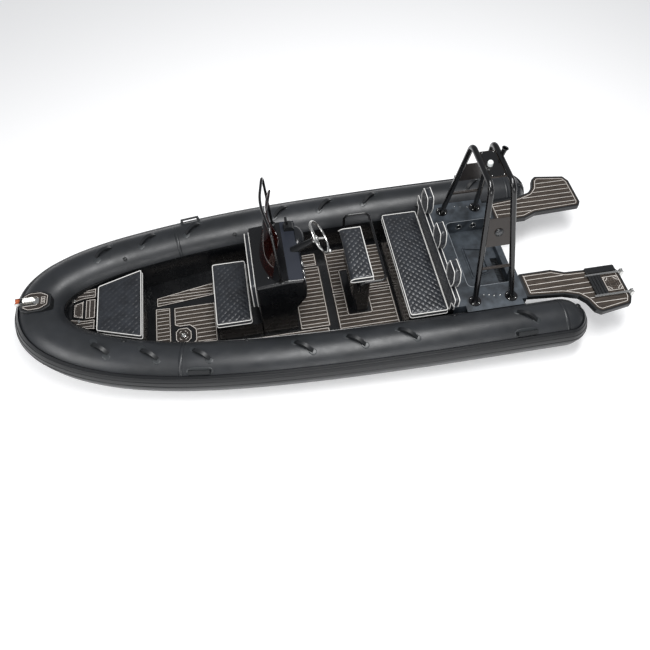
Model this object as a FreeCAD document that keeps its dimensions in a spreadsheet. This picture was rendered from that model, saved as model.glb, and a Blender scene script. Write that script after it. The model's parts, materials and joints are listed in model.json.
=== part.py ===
# Inflatable rib boat: rigid V hull, inflatable collar, console, seats, arch and swim platforms.
# Millimetres. +X is the bow, +Y port, +Z up. The origin is on the centreline at the waterline,
# at the aft face of the transom.
import FreeCAD, Part
import Sketcher
import math
import os

Vec = FreeCAD.Vector
doc = FreeCAD.newDocument("rib_boat")

# Driving dimensions: name, size, what it is
DIMENSIONS = [
    ("tubeRadius", 260, "radius of the inflatable collar"),
    ("tubeHalfBeam", 990, "collar centreline from the boat's centreline, amidships"),
    ("tubeHeight", 315, "collar centreline above the waterline, amidships"),
    ("planStart", -677, "aft end of the plan curve of the collar centreline"),
    ("planLength", 5965, "length of the plan curve"),
    ("planFullness", 4.0, "exponent of the plan curve along the boat"),
    ("planRoundness", 2.2, "exponent of the plan curve across the boat"),
    ("domeCentre", -330, "centre of the collar's domed aft ends"),
    ("straightEnd", 700, "forward end of the collar's straight aft run"),
    ("seamShare", 0.7338, "seam between the side and bow chambers, as a share of the plan curve"),
    ("sheerReach", 1602, "run over which the collar rises towards the bow"),
    ("sheerRise", 120, "rise of the collar centreline at the bow"),
    ("strakeThickness", 16, "thickness of the rubbing strake"),
    ("strakeTopAngle", 50, "top edge of the strake, degrees from vertical"),
    ("strakeLowAngle", 86, "lower edge of the strake, degrees from vertical"),
    ("strakeWrap", 105, "turn of the strake round the domed ends, degrees"),
    ("draft", 400, "keel below the waterline"),
    ("keelFlat", 35, "half breadth of the flat under the keel"),
    ("chineDepth", 60, "chine below the waterline, aft"),
    ("chineFlat", 55, "breadth of the flat along the chine"),
    ("railBreadth", 38, "breadth of a spray rail under the hull"),
    ("stemInset", 60, "stem head behind the collar's centreline at the bow"),
    ("keelRiseStart", 2300, "where the keel starts to rise to the stem"),
    ("floorTop", 60, "cockpit floor above the waterline"),
    ("floorThickness", 24, "cockpit floor laminate"),
    ("linerThickness", 8, "wall of the cockpit liner"),
    ("linerTopAngle", 68, "rim of the liner on the collar, degrees inboard of vertical"),
    ("sideGap", 10, "clearance between the liner and what stands inside it"),
    ("lidGap", 10, "clearance round a deck hatch lid"),
    ("lidThickness", 18, "locker lids"),
    ("lidLedge", 14, "ledge that a hatch lid rests on"),
    ("seatGap", 0.3, "gap between a lid and the rim that it rests on"),
    ("boxWall", 20, "wall of the lockers"),
    ("cushionThickness", 62, "seat cushions"),
    ("cushionRound", 14, "rounding of the cushions' top edges"),
    ("handleLength", 250, "grab handle, end to end"),
    ("handleWidth", 38, "grab handle strap"),
    ("handleRise", 54, "top of a grab handle above the collar"),
    ("handleGap", 32, "finger gap under a grab handle"),
    ("handleRoot", 25, "depth that a handle's arch starts below the crown"),
    ("handleAngle", 141, "direction of the port grab handles in plan"),
    ("sideHandleAngle", 40, "side carry handles on the collar, degrees outboard of vertical"),
    ("bowReach", 1073, "aft edge of the bow locker behind the collar's nose"),
    ("bowSeatLength", 485, "bow locker along the boat"),
    ("bowAftInset", 538, "bow locker's aft corners inboard of the collar's axis amidships"),
    ("bowForeInset", 698, "bow locker's forward corners inboard of the collar's axis amidships"),
    ("bowSeatTop", 445, "top of the bow cushion"),
    ("bowCushionLap", 12, "bow cushion beyond the locker's sides"),
    ("bowLockerFloor", 150, "floor of the bow locker"),
    ("deckTop", 440, "top of the foredeck"),
    ("deckThickness", 30, "foredeck laminate"),
    ("deckStep", 120, "step between the bow locker and the foredeck"),
    ("deckStepDrop", 70, "top of that step below the foredeck"),
    ("anchorLockerFloor", 270, "floor of the anchor locker"),
    ("hatchInset", 25, "anchor hatch forward of the deck edge"),
    ("hatchLength", 120, "anchor hatch along the boat"),
    ("hatchAftHalf", 130, "half breadth of the anchor hatch, aft"),
    ("hatchForeHalf", 85, "half breadth of the anchor hatch, forward"),
    ("consoleAft", 2430, "aft edge of the dash top"),
    ("consoleLength", 500, "dash top to the console's front wall"),
    ("consoleHalf", 425, "half breadth of the console"),
    ("consoleTop", 990, "height of the dash top"),
    ("consoleRound", 28, "rounding of the console's side edges"),
    ("kneeHeight", 655, "lower edge of the helm face above the cockpit floor"),
    ("kneeDepth", 125, "depth of the knee recess under the helm face"),
    ("kneeRise", 205, "height of the slope above the knee recess"),
    ("toeHeight", 240, "height of the toe recess under the helm seat"),
    ("toeDepth", 70, "depth of the toe recess under the helm seat"),
    ("frontLedge", 95, "ledge between the console and its front seat lid"),
    ("frontSeatLength", 400, "front seat along the boat"),
    ("frontSeatTop", 395, "top of the seat in front of the console"),
    ("frontSeatHalf", 430, "half breadth of the seat in front of the console"),
    ("frontRestHeight", 400, "pad on the console's front wall, up and down"),
    ("padInset", 45, "pads inside the edge of what they are fixed to"),
    ("helmSlope", 30, "lean of the helm face"),
    ("helmPanel", 160, "height of the helm face"),
    ("dashLength", 160, "dash top along the boat"),
    ("frameHalf", 390, "windscreen frame from the centreline"),
    ("frameFoot", 230, "windscreen frame's feet ahead of the dash's aft edge"),
    ("frameLean", 50, "windscreen frame's corners ahead of its feet"),
    ("frameBow", 70, "bow of the windscreen frame's top bar"),
    ("frameTop", 1745, "top of the windscreen frame at its corners"),
    ("frameBend", 95, "bend radius of the windscreen frame's corners"),
    ("paneTop", 1640, "top of the windscreen pane"),
    ("paneThickness", 6, "windscreen pane"),
    ("paneFoot", 330, "windscreen pane's sides ahead of the dash's aft edge"),
    ("paneBow", 90, "bow of the windscreen pane"),
    ("paneLean", 130, "top of the windscreen pane aft of its foot"),
    ("railTube", 28, "outside diameter of the seat rail and windscreen frame"),
    ("wheelRadius", 180, "steering wheel rim, centreline radius"),
    ("wheelRim", 13, "steering wheel rim, radius of its section"),
    ("wheelReach", 230, "steering wheel centre aft of the dash top"),
    ("wheelRise", 150, "steering wheel centre above the dash top"),
    ("wheelRake", 30, "steering shaft above horizontal, degrees"),
    ("wheelDish", 36, "steering wheel rim ahead of its spokes' roots"),
    ("hubRadius", 36, "steering wheel hub"),
    ("hubLength", 40, "steering wheel hub along the shaft"),
    ("shaftRadius", 9, "steering shaft"),
    ("hubClear", 6, "gap between the hub and the boss"),
    ("throttleRadius", 58, "round housing of the throttle"),
    ("throttleSide", 260, "throttle from the centreline, starboard"),
    ("throttleWidth", 96, "throttle housing across"),
    ("leverLength", 130, "throttle lever above the housing's axis"),
    ("helmAft", 1662, "aft edge of the helm seat"),
    ("helmLength", 235, "helm seat along the boat, to the axis of its rolled front"),
    ("helmHalf", 370, "half breadth of the helm seat"),
    ("helmTop", 800, "top of the helm seat"),
    ("helmBaseHalf", 300, "half breadth of the helm seat's base"),
    ("helmCushion", 64, "thickness of the helm seat"),
    ("seatRailHalf", 480, "grab rail round the helm seat, from the centreline"),
    ("seatRailHeight", 880, "grab rail round the helm seat above the waterline"),
    ("seatRailBend", 60, "bend radius of the helm seat rail"),
    ("seatRailBack", 100, "grab rail behind the helm seat"),
    ("sternFore", 825, "forward end of the stern deck"),
    ("backrestRoom", 70, "bench backrest and its ledge behind the bench lid"),
    ("benchLength", 435, "bench cushion along the boat"),
    ("benchTop", 510, "top of the bench cushion"),
    ("benchLap", 30, "bench cushion beyond its lid, over the collar's shoulder"),
    ("backrestWing", 75, "backrest beyond the bench, above the collar"),
    ("wingLow", 600, "underside of the backrest's wings"),
    ("backrestTop", 750, "top of the bench backrest"),
    ("backrestThickness", 56, "bench backrest"),
    ("bolsterTop", 1030, "top of the back bolsters"),
    ("bolsterWidth", 264, "back bolster, across"),
    ("bolsterThickness", 80, "back bolster, fore and aft"),
    ("bolsterPoint", 40, "reach of a back bolster's pointed sides"),
    ("bolsterPitch", 530, "spacing of the back bolsters"),
    ("sternTop", 500, "top of the stern side boxes"),
    ("sternFlange", 20, "thickness of the stern deck's outer flange"),
    ("wellHalf", 480, "half breadth of the splash well"),
    ("wellFloor", 300, "floor of the splash well"),
    ("wellBulkhead", 225, "stern deck ahead of the splash well"),
    ("wellRound", 70, "corner radius of the splash well"),
    ("scupperRadius", 34, "round recesses in the well's starboard wall"),
    ("drainPit", 90, "length of the drain pit at the transom"),
    ("drainDepth", 80, "depth of the drain pit"),
    ("sternLid", 180, "stern hatch lid along the boat"),
    ("sternLidFore", 410, "forward edge of the stern hatch lid"),
    ("sternLidHalf", 200, "half breadth of the stern hatch lid, forward"),
    ("sternLidTaper", 40, "how much narrower the stern hatch lid is aft, each side"),
    ("transomThickness", 60, "transom"),
    ("motorCutHalf", 300, "half width of the motor cut-out in the transom"),
    ("motorCutDepth", 120, "depth of the motor cut-out"),
    ("motorBoard", 12, "thickness of the motor board on the transom"),
    ("motorBoardLow", -60, "lower edge of the motor board"),
    ("archTube", 60, "outside diameter of the arch tubes"),
    ("archFootInset", 42, "arch feet inboard of the stern deck's side"),
    ("archTopHalf", 300, "upper bend of the arch from the centreline"),
    ("archTop", 1885, "top bar of the arch above the waterline"),
    ("archBend", 110, "bend radius of the arch"),
    ("archFrontFoot", 585, "front hoop foot along the boat"),
    ("archFrontTop", 580, "front hoop top bar along the boat"),
    ("archRearFoot", 170, "rear hoop foot along the boat"),
    ("archRearTop", 360, "rear hoop top bar along the boat"),
    ("archPlateLow", 1200, "lower edge of the arch side plates"),
    ("archPlateHigh", 1530, "upper edge of the arch side plates"),
    ("archPlate", 8, "arch plates"),
    ("archBarHeight", 930, "bars between the arch legs, above the waterline"),
    ("archBar", 34, "outside diameter of the bars between the arch legs"),
    ("topPlateHalf", 185, "half breadth of the plate on top of the arch"),
    ("lampRadius", 29, "round lamp on the arch"),
    ("lampHeight", 60, "height of the lamp on the arch"),
    ("lampSetback", 75, "lamp aft of the front hoop"),
    ("rodTube", 50, "outside diameter of the rod holder"),
    ("rodLength", 150, "rod holder, end to end in height"),
    ("rodDrop", 60, "foot of the rod holder below the arch's top bar"),
    ("rodLean", 30, "lean of the rod holder"),
    ("platformTop", 500, "top of the swim platforms"),
    ("platformThickness", 60, "swim platforms"),
    ("platformLength", 1135, "swim platforms aft of the transom"),
    ("motorRoom", 100, "swim platforms outboard of the motor cut-out"),
    ("platformWaist", 60, "step of the inner edge behind the transom"),
    ("platformFlare", 55, "outer corner of the swim platforms outboard of the collar's axis"),
    ("platformRound", 24, "corner radius of the swim platforms"),
    ("recessDepth", 5, "recess for the tread pad of a swim platform"),
    ("recessInset", 18, "tread pad inside the platform's edge"),
    ("ladderTube", 25, "outside diameter of the ladder rails"),
    ("ladderInner", 570, "inner ladder rail from the centreline"),
    ("ladderOuter", 850, "outer ladder rail from the centreline"),
    ("ladderLength", 440, "folded length of the ladder"),
    ("ladderPin", 8, "radius of the ladder's hinge pin"),
    ("ladderHinge", 22, "hinge pin aft of the platform"),
    ("ladderClear", 13, "folded ladder above the platform"),
    ("stepPitch", 36, "spacing of the folded ladder steps"),
    ("stepWidth", 28, "tread of a ladder step"),
    ("pinClearance", 0.05, "radial clearance of a turning pin"),
    ("noseHalf", 128, "half breadth of the bow step"),
    ("noseAft", 180, "bow step behind the collar's nose"),
    ("noseFore", 142, "bow step ahead of the collar's nose"),
    ("noseRise", 24, "top of the bow step above the collar"),
    ("noseDepth", 130, "foot of the bow step's sides below the collar's crown"),
    ("rollerReach", 160, "bow roller ahead of the collar's nose"),
    ("rollerRadius", 22, "bow roller"),
    ("rollerPin", 6, "radius of the bow roller's pin"),
    ("channelHalf", 36, "half breadth of the bow roller's channel"),
    ("channelWall", 6, "plate of the bow roller's channel"),
    ("channelHeight", 40, "cheeks of the bow roller's channel"),
]

# Sizes that follow from the driving ones: name, formula, what it is
FOLLOWING = [
    ("nose", "planStart + planLength", "collar centreline at the bow"),
    ("sheerStart", "nose - sheerReach", "where the collar starts to rise towards the bow"),
    ("bowSeatAft", "nose - bowReach", "aft edge of the bow locker"),
    ("bowSeatAftHalf", "tubeHalfBeam - bowAftInset", "half breadth of the bow locker, aft"),
    ("bowSeatForeHalf", "tubeHalfBeam - bowForeInset", "half breadth of the bow locker, forward"),
    ("bowSeatFore", "bowSeatAft + bowSeatLength", "forward edge of the bow locker"),
    ("bowLidLow", "bowSeatTop - cushionThickness - lidThickness", "underside of the bow locker's lid"),
    ("deckAft", "bowSeatFore + deckStep", "aft edge of the foredeck"),
    ("consoleFore", "consoleAft + consoleLength", "front wall of the console"),
    ("frontSeatAft", "consoleFore + frontLedge", "aft edge of the front seat's lid"),
    ("frontSeatFore", "frontSeatAft + frontSeatLength", "forward edge of the front seat"),
    ("frontLidLow", "frontSeatTop - cushionThickness - lidThickness", "underside of the front seat's lid"),
    ("helmFore", "helmAft + helmLength", "axis of the helm seat's rolled front"),
    ("benchAft", "sternFore + backrestRoom", "aft edge of the bench lid"),
    ("benchFore", "benchAft + benchLength", "forward edge of the bench"),
    ("benchHalf", "tubeHalfBeam - tubeRadius - linerThickness - sideGap", "half breadth of the bench"),
    ("benchLidLow", "benchTop - cushionThickness - lidThickness", "underside of the bench lid"),
    ("archFootHalf", "benchHalf - archFootInset", "arch feet from the centreline"),
    ("platformEnd", "-platformLength", "aft end of the swim platforms"),
    ("platformInner", "motorCutHalf + motorRoom", "inner edge of the swim platforms at the transom"),
    ("platformWing", "tubeHalfBeam + platformFlare", "outer corner of the swim platforms"),
]

sheet = doc.addObject("Spreadsheet::Sheet", "Dim")
for row, (alias, number, note) in enumerate(DIMENSIONS, 1):
    sheet.set("A%d" % row, alias)
    sheet.set("B%d" % row, str(number))
    sheet.set("C%d" % row, note)
    sheet.setAlias("B%d" % row, alias)
for row, (alias, formula, note) in enumerate(FOLLOWING, 1 + len(DIMENSIONS)):
    sheet.set("A%d" % row, alias)
    sheet.set("B%d" % row, "=" + formula)
    sheet.set("C%d" % row, note)
    sheet.setAlias("B%d" % row, alias)
doc.recompute()


def size(alias):
    return float(sheet.get(alias))


subparts = []


# Ways of making a sub-part

def keep(obj, label):
    obj.Label = label
    subparts.append(obj)
    return obj


def shaped(name, shape):
    obj = doc.addObject("Part::Feature", name)
    obj.Shape = shape
    return obj


def flat_plane(body, role):
    return [f for f in body.Origin.OriginFeatures if f.Role == role][0]


def closed_sketch(body, name, role, corners, offset=None):
    """A closed outline of straight sides whose corners are pairs of expressions."""
    sketch = body.newObject("Sketcher::SketchObject", name)
    sketch.AttachmentSupport = [(flat_plane(body, role), "")]
    sketch.MapMode = "FlatFace"
    if offset:
        sketch.setExpression("AttachmentOffset.Base.z", offset)
    count = len(corners)
    start = [Vec(100 * math.cos(2 * math.pi * i / count), 100 * math.sin(2 * math.pi * i / count), 0)
             for i in range(count)]
    for i in range(count):
        sketch.addGeometry(Part.LineSegment(start[i], start[(i + 1) % count]), False)
    for i in range(count):
        sketch.addConstraint(Sketcher.Constraint("Coincident", i, 2, (i + 1) % count, 1))
    for i, (first, second) in enumerate(corners):
        a = sketch.addConstraint(Sketcher.Constraint("DistanceX", -1, 1, i, 1, start[i].x))
        b = sketch.addConstraint(Sketcher.Constraint("DistanceY", -1, 1, i, 1, start[i].y))
        sketch.setExpression("Constraints[%d]" % a, first)
        sketch.setExpression("Constraints[%d]" % b, second)
    return sketch


def padded_outline(label, role, corners, length, offset=None, middle=False):
    """A body padded from a closed outline."""
    body = doc.addObject("PartDesign::Body", label)
    sketch = closed_sketch(body, label + "_outline", role, corners, offset)
    pad = body.newObject("PartDesign::Pad", label + "_pad")
    pad.Profile = sketch
    pad.setExpression("Length", length)
    pad.Midplane = middle
    body.Tip = pad
    doc.recompute()
    return body


def pocketed(body, name, corners, top, depth):
    """Cuts a closed outline down into a body from a level."""
    before = body.Shape.Volume
    sketch = closed_sketch(body, name + "_outline", "XY_Plane", corners, top)
    pocket = body.newObject("PartDesign::Pocket", name)
    pocket.Profile = sketch
    pocket.setExpression("Length", depth)
    body.Tip = pocket
    doc.recompute()
    if body.Shape.Volume >= before:
        raise RuntimeError(name + " cuts nothing")
    return body


def rounded(body, radius, wanted):
    """Fillets the edges of the body's last feature that the test picks."""
    base = body.Tip
    names = ["Edge%d" % (i + 1) for i, edge in enumerate(base.Shape.Edges) if wanted(edge)]
    fillet = body.newObject("PartDesign::Fillet", body.Name + "_fillet")
    fillet.Base = (base, names)
    fillet.setExpression("Radius", radius)
    body.Tip = fillet
    doc.recompute()
    return body


def is_upright(edge):
    box = edge.BoundBox
    return box.XLength < 1 and box.YLength < 1


def is_top(level):
    """A test for the edges that lie at a level."""
    return lambda edge: edge.BoundBox.ZMin > level - 1


def trapezoid(aft, fore, aftHalf, foreHalf):
    """Corners of an outline that is symmetric about the centreline."""
    return [(aft, "-(%s)" % aftHalf), (fore, "-(%s)" % foreHalf), (fore, foreHalf), (aft, aftHalf)]


def rectangle(aft, fore, half):
    return trapezoid(aft, fore, half, half)


def tube_along(points, radius, bends):
    """A round tube along straight runs joined by arcs, with a bend radius for each inner point."""
    heading = (points[1] - points[0]).normalize()
    disc = Part.Face(Part.Wire(Part.makeCircle(radius, points[0], heading)))
    here = points[0]
    pieces = []
    for corner, after_corner, bend in zip(points[1:], points[2:], bends):
        after = (after_corner - corner).normalize()
        turn = heading.getAngle(after)
        reach = bend * math.tan(turn / 2)
        run = corner - heading * reach - here
        pieces.append(disc.extrude(run))
        disc.translate(run)
        axis = heading.cross(after).normalize()
        centre = here + run + axis.cross(heading) * bend
        pieces.append(disc.revolve(centre, axis, math.degrees(turn)))
        disc.rotate(centre, axis, math.degrees(turn))
        here = corner + after * reach
        heading = after
    pieces.append(disc.extrude(points[-1] - here))
    return pieces[0].fuse(pieces[1:]).removeSplitter()


# Collar centreline

def half_breadth(x):
    """Superellipse: the share of the length used up and the share of the breadth add to one."""
    share = (x - size("planStart")) / size("planLength")
    share = min(max(share, 0.0), 1.0)
    return size("tubeHalfBeam") * (1 - share ** size("planFullness")) ** (1 / size("planRoundness"))


nose = size("nose")


def sheer(x):
    reach = nose - size("sheerStart")
    return size("tubeHeight") + size("sheerRise") * max(0.0, (x - size("sheerStart")) / reach) ** 2


def along_plan(share):
    """The station at a share of the plan curve's length."""
    return size("planStart") + share * size("planLength")


# Stations where one arc of the collar's centreline passes into the next
ARC_STATIONS = [along_plan(share) for share in
                (0.4488, 0.6164, size("seamShare"), 0.8344, 0.9098, 0.9601, 0.9852)]


def turned(vector, axis, degrees):
    return FreeCAD.Rotation(axis, degrees).multVec(vector)


def collar_moves():
    """A straight run, then arcs that each leave the last in line, up to the middle of the bow."""
    point = Vec(size("domeCentre"), size("tubeHalfBeam"), size("tubeHeight"))
    heading = Vec(1, 0, 0)
    run = heading * (size("straightEnd") - size("domeCentre"))
    moves = [("run", run, None, 0)]
    point = point + run
    for x in ARC_STATIONS:
        chord = Vec(x, half_breadth(x), sheer(x)) - point
        normal = chord - heading * chord.dot(heading)
        normal.normalize()
        radius = chord.dot(chord) / (2 * chord.dot(normal))
        axis = heading.cross(normal)
        angle = math.degrees(2 * heading.getAngle(chord))
        moves.append(("turn", point + normal * radius, axis, angle))
        point = point + chord
        heading = turned(heading, axis, angle)
    # the last arc is square to the centreline plane where it meets it
    across = Vec(0, 1, 0)
    normal = heading * heading.dot(across) - across
    normal.normalize()
    radius = -point.y / normal.y
    axis = heading.cross(normal)
    angle = math.degrees(heading.getAngle(Vec(0, -1, 0)))
    moves.append(("turn", point + normal * radius, axis, angle))
    return moves


MOVES = collar_moves()
SIDE_MOVES = 1 + ARC_STATIONS.index(along_plan(size("seamShare"))) + 1


def moved(shape, move):
    kind, vector, axis, angle = move
    copy = shape.copy()
    if kind == "run":
        copy.translate(vector)
    else:
        copy.rotate(vector, axis, angle)
    return copy


def carried(face, first, last):
    """The solid that a face leaves along some of the collar's runs and arcs, port side."""
    pieces = []
    for move in MOVES[:first]:
        face = moved(face, move)
    for move in MOVES[first:last]:
        kind, vector, axis, angle = move
        pieces.append(face.extrude(vector) if kind == "run" else face.revolve(vector, axis, angle))
        face = moved(face, move)
    solid = pieces[0].fuse(pieces[1:]) if len(pieces) > 1 else pieces[0]
    return solid.Solids[0] if len(solid.Solids) == 1 else solid


def mirrored(shape):
    return shape.mirror(Vec(0, 0, 0), Vec(0, 1, 0))


def both_halves(half):
    """A port half that ends on the centreline plane, joined to its mirror image."""
    return half.fuse(mirrored(half)).removeSplitter()


# Profiles stand across the collar's axis at its aft end, port side
ROOT = Vec(size("domeCentre"), size("tubeHalfBeam"), size("tubeHeight"))


def ring_point(radius, angle):
    """A point at a radius from the collar's axis, its angle in degrees from vertical, outwards."""
    turn = math.radians(angle)
    return ROOT + Vec(0, radius * math.sin(turn), radius * math.cos(turn))


def band_face(low, high, inner, outer):
    """A curved band between two radii and two angles."""
    middle = (low + high) / 2
    return Part.Face(Part.Wire([
        Part.Arc(ring_point(inner, high), ring_point(inner, middle), ring_point(inner, low)).toShape(),
        Part.LineSegment(ring_point(inner, low), ring_point(outer, low)).toShape(),
        Part.Arc(ring_point(outer, low), ring_point(outer, middle), ring_point(outer, high)).toShape(),
        Part.LineSegment(ring_point(outer, high), ring_point(inner, high)).toShape()]))


def wall_face(inboard, outboard, low, high):
    """An upright rectangle, by its distances inboard of the collar's axis and above it."""
    spots = [(-inboard, low), (-outboard, low), (-outboard, high), (-inboard, high)]
    corners = [ROOT + Vec(0, y, z) for y, z in spots]
    return Part.Face(Part.makePolygon(corners + [corners[0]]))


tubeFace = Part.Face(Part.Wire(Part.makeCircle(size("tubeRadius"), ROOT, Vec(1, 0, 0))))


def dome():
    """Half a ball on the aft end, turned from a quarter disc."""
    radius = size("tubeRadius")
    back = ROOT - Vec(radius, 0, 0)
    middle = ROOT + Vec(-radius * math.cos(math.pi / 4), 0, radius * math.sin(math.pi / 4))
    top = ROOT + Vec(0, 0, radius)
    quarter = Part.Face(Part.Wire([Part.Arc(back, middle, top).toShape(),
                                   Part.LineSegment(top, ROOT).toShape(),
                                   Part.LineSegment(ROOT, back).toShape()]))
    return quarter.revolve(ROOT, Vec(1, 0, 0), 360)


sideTube = carried(tubeFace, 0, SIDE_MOVES).fuse(dome()).removeSplitter()
bowTube = both_halves(carried(tubeFace, SIDE_MOVES, len(MOVES)))
keep(shaped("tube_port", sideTube), "tube_port")
keep(shaped("tube_starboard", mirrored(sideTube)), "tube_starboard")
keep(shaped("tube_bow", bowTube), "tube_bow")
wholeCollar = [sideTube, mirrored(sideTube), bowTube]

# Rubbing strake: a band on each chamber, turned round the domed ends
strakeFace = band_face(size("strakeTopAngle"), size("strakeLowAngle"),
                       size("tubeRadius"), size("tubeRadius") + size("strakeThickness"))
sideStrake = carried(strakeFace, 0, SIDE_MOVES).fuse(
    strakeFace.revolve(ROOT, Vec(0, 0, 1), size("strakeWrap"))).removeSplitter()
bowStrake = both_halves(carried(strakeFace, SIDE_MOVES, len(MOVES)))
keep(shaped("rubbing_strake", Part.makeCompound([sideStrake, mirrored(sideStrake), bowStrake])),
     "rubbing_strake")

# Cockpit liner: a thin wall up the inside of the collar that ends in a rim lying on it
linerOut = size("tubeRadius") + size("linerThickness")
linerLow = size("floorTop") - size("floorThickness") - size("tubeHeight")


def liner_face():
    rim = -size("linerTopAngle")
    inner = size("tubeRadius")
    middle = (rim - 90) / 2
    foot_in = ROOT + Vec(0, -inner, linerLow)
    foot_out = ROOT + Vec(0, -linerOut, linerLow)
    return Part.Face(Part.Wire([
        Part.Arc(ring_point(inner, rim), ring_point(inner, middle), ring_point(inner, -90)).toShape(),
        Part.LineSegment(ring_point(inner, -90), foot_in).toShape(),
        Part.LineSegment(foot_in, foot_out).toShape(),
        Part.LineSegment(foot_out, ring_point(linerOut, -90)).toShape(),
        Part.Arc(ring_point(linerOut, -90), ring_point(linerOut, middle),
                 ring_point(linerOut, rim)).toShape(),
        Part.LineSegment(ring_point(linerOut, rim), ring_point(inner, rim)).toShape()]))


def slab(x, y, z):
    """A box between two pairs of limits along each axis."""
    return Part.makeBox(x[1] - x[0], y[1] - y[0], z[1] - z[0], Vec(x[0], y[0], z[0]))


FAR = 3000
ACROSS = (-size("tubeHalfBeam") - size("tubeRadius"), size("tubeHalfBeam") + size("tubeRadius"))
linerFace = liner_face()
aheadOfTransom = slab((0, nose + FAR), (-FAR, FAR), (-FAR, FAR))
linerSide = carried(linerFace, 0, SIDE_MOVES).common(aheadOfTransom)
linerBow = both_halves(carried(linerFace, SIDE_MOVES, len(MOVES)))
keep(shaped("liner_port", linerSide), "liner_port")
keep(shaped("liner_starboard", mirrored(linerSide)), "liner_starboard")
keep(shaped("liner_bow", linerBow), "liner_bow")


def outside_of(inset):
    """Everything outboard of the collar's inner line moved inboard by an inset."""
    face = wall_face(size("tubeRadius") + inset, -FAR / 4, -FAR / 3, FAR / 3)
    return both_halves(carried(face, 0, len(MOVES)))


outsideLiner = outside_of(size("linerThickness"))
outsideHull = outside_of(0)

# Hull: lofted V sections under the collar, less the collar's seat and the cockpit
stemHead = nose - size("stemInset")
floorLow = size("floorTop") - size("floorThickness")


def hull_half(x):
    """Half a section from the keel outwards: keel flat, spray rail, chine flat, side and shelf."""
    rise = max(0.0, (x - size("keelRiseStart")) / (stemHead - size("keelRiseStart")))
    seat = math.sqrt(0.5) * size("tubeRadius")
    level = sheer(x) - seat
    keel = -size("draft") + (level - 60 + size("draft")) * rise ** 2.4
    narrow = max(half_breadth(x) - seat, 40)
    chine = min(-size("chineDepth") + (level - 40 + size("chineDepth")) * rise ** 1.7, level - 20)
    chineHalf = narrow * (1 - 0.06 * rise)
    fade = max(1 - rise, 0.08)
    flat = size("keelFlat") * fade
    chineIn = chineHalf - size("chineFlat") * fade

    def bottom(share):
        return flat + (chineIn - flat) * share, keel + (chine - keel) * share

    railStart, railEnd = bottom(0.5), bottom(0.5 + size("railBreadth") * fade / (chineIn - flat))
    return [(flat, keel), railStart, (railEnd[0], railStart[1]), railEnd, (chineIn, chine),
            (chineHalf, chine), (narrow + 10, level), (narrow - 20, level + 90)]


def hull_section(x):
    half = hull_half(x)
    points = [Vec(x, y, z) for y, z in half] + [Vec(x, -y, z) for y, z in reversed(half)]
    return Part.makePolygon(points + [points[0]])


# Stations of the hull's sections, as shares of the way from the transom to the collar's nose
HULL_STATIONS = [nose * share for share in (0, 0.2175, 0.435, 0.5295, 0.624, 0.6997, 0.7753, 0.832,
                                            0.8793, 0.9172, 0.9455, 0.9645, 0.9796)]
hullSolid = Part.makeLoft([hull_section(x) for x in HULL_STATIONS], True, True)
for chamber in wholeCollar:
    hullSolid = hullSolid.cut(chamber)
pockets = [slab((-1, size("bowSeatAft")), ACROSS, (floorLow, FAR)),
           slab((size("bowSeatAft"), size("deckAft")), ACROSS, (size("bowLockerFloor"), FAR)),
           slab((size("deckAft"), nose), ACROSS, (size("anchorLockerFloor"), FAR))]
for space in pockets:
    hullSolid = hullSolid.cut(space.cut(outsideHull))
for wallSolid in (linerSide, mirrored(linerSide), linerBow):
    hullSolid = hullSolid.cut(wallSolid)
keep(shaped("hull", hullSolid), "hull")

# Cockpit floor inside the liner, between the transom and the bow locker
floorPlate = slab((size("transomThickness"), size("bowSeatAft")), ACROSS,
                  (floorLow, size("floorTop"))).cut(outsideLiner)
keep(shaped("cockpit_floor", floorPlate), "cockpit_floor")

# Transom with its motor cut-out and the raised motor board on its aft face
cutLevel = size("sternTop") - size("motorCutDepth")
boardHalf = size("motorCutHalf") - 20
transom = slab((0, size("transomThickness")), ACROSS, (floorLow, size("sternTop"))).cut(outsideLiner)
transom = transom.fuse(slab((-size("motorBoard"), 0), (-boardHalf, boardHalf),
                            (size("motorBoardLow"), cutLevel)))
transom = transom.cut(slab((-1, size("transomThickness") + 1),
                           (-size("motorCutHalf"), size("motorCutHalf")), (cutLevel, FAR)))
keep(shaped("transom", transom), "transom")


def prism(x, half, low, high):
    """An upright prism, symmetric about the centreline, between two stations."""
    corners = [Vec(x[0], -half[0], low), Vec(x[1], -half[1], low),
               Vec(x[1], half[1], low), Vec(x[0], half[0], low)]
    return Part.Face(Part.makePolygon(corners + [corners[0]])).extrude(Vec(0, 0, high - low))


def softened(solid, radius, wanted):
    return solid.makeFillet(radius, [edge for edge in solid.Edges if wanted(edge)])


# Foredeck over the anchor locker with its hatch opening, and the lower step behind it
hatchAft = size("deckAft") + size("hatchInset")
hatchFore = hatchAft + size("hatchLength")
gap = size("lidGap")
ledge = size("lidLedge")
deckWide = half_breadth(size("bowSeatFore"))
deck = slab((size("deckAft"), nose - size("tubeRadius")), (-deckWide, deckWide),
            (size("deckTop") - size("deckThickness"), size("deckTop")))
deck = deck.cut(prism((hatchAft - gap, hatchFore + gap),
                      (size("hatchAftHalf") + gap, size("hatchForeHalf") + gap),
                      size("deckTop") - size("lidThickness") - size("seatGap"), FAR))
deck = deck.cut(prism((hatchAft + ledge, hatchFore - ledge),
                      (size("hatchAftHalf") - ledge, size("hatchForeHalf") - ledge), -FAR, FAR))
stepTop = size("deckTop") - size("deckStepDrop")
stepAft = size("bowSeatFore") + size("bowCushionLap") + size("sideGap")
riser = slab((size("deckAft"), size("deckAft") + size("boxWall")), (-deckWide, deckWide),
             (stepTop - size("boxWall"), size("deckTop")))
tread = slab((stepAft, size("deckAft")), (-deckWide, deckWide), (stepTop - size("boxWall"), stepTop))
keep(shaped("foredeck", deck.fuse([riser, tread]).removeSplitter().cut(outsideLiner)), "foredeck")
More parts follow.
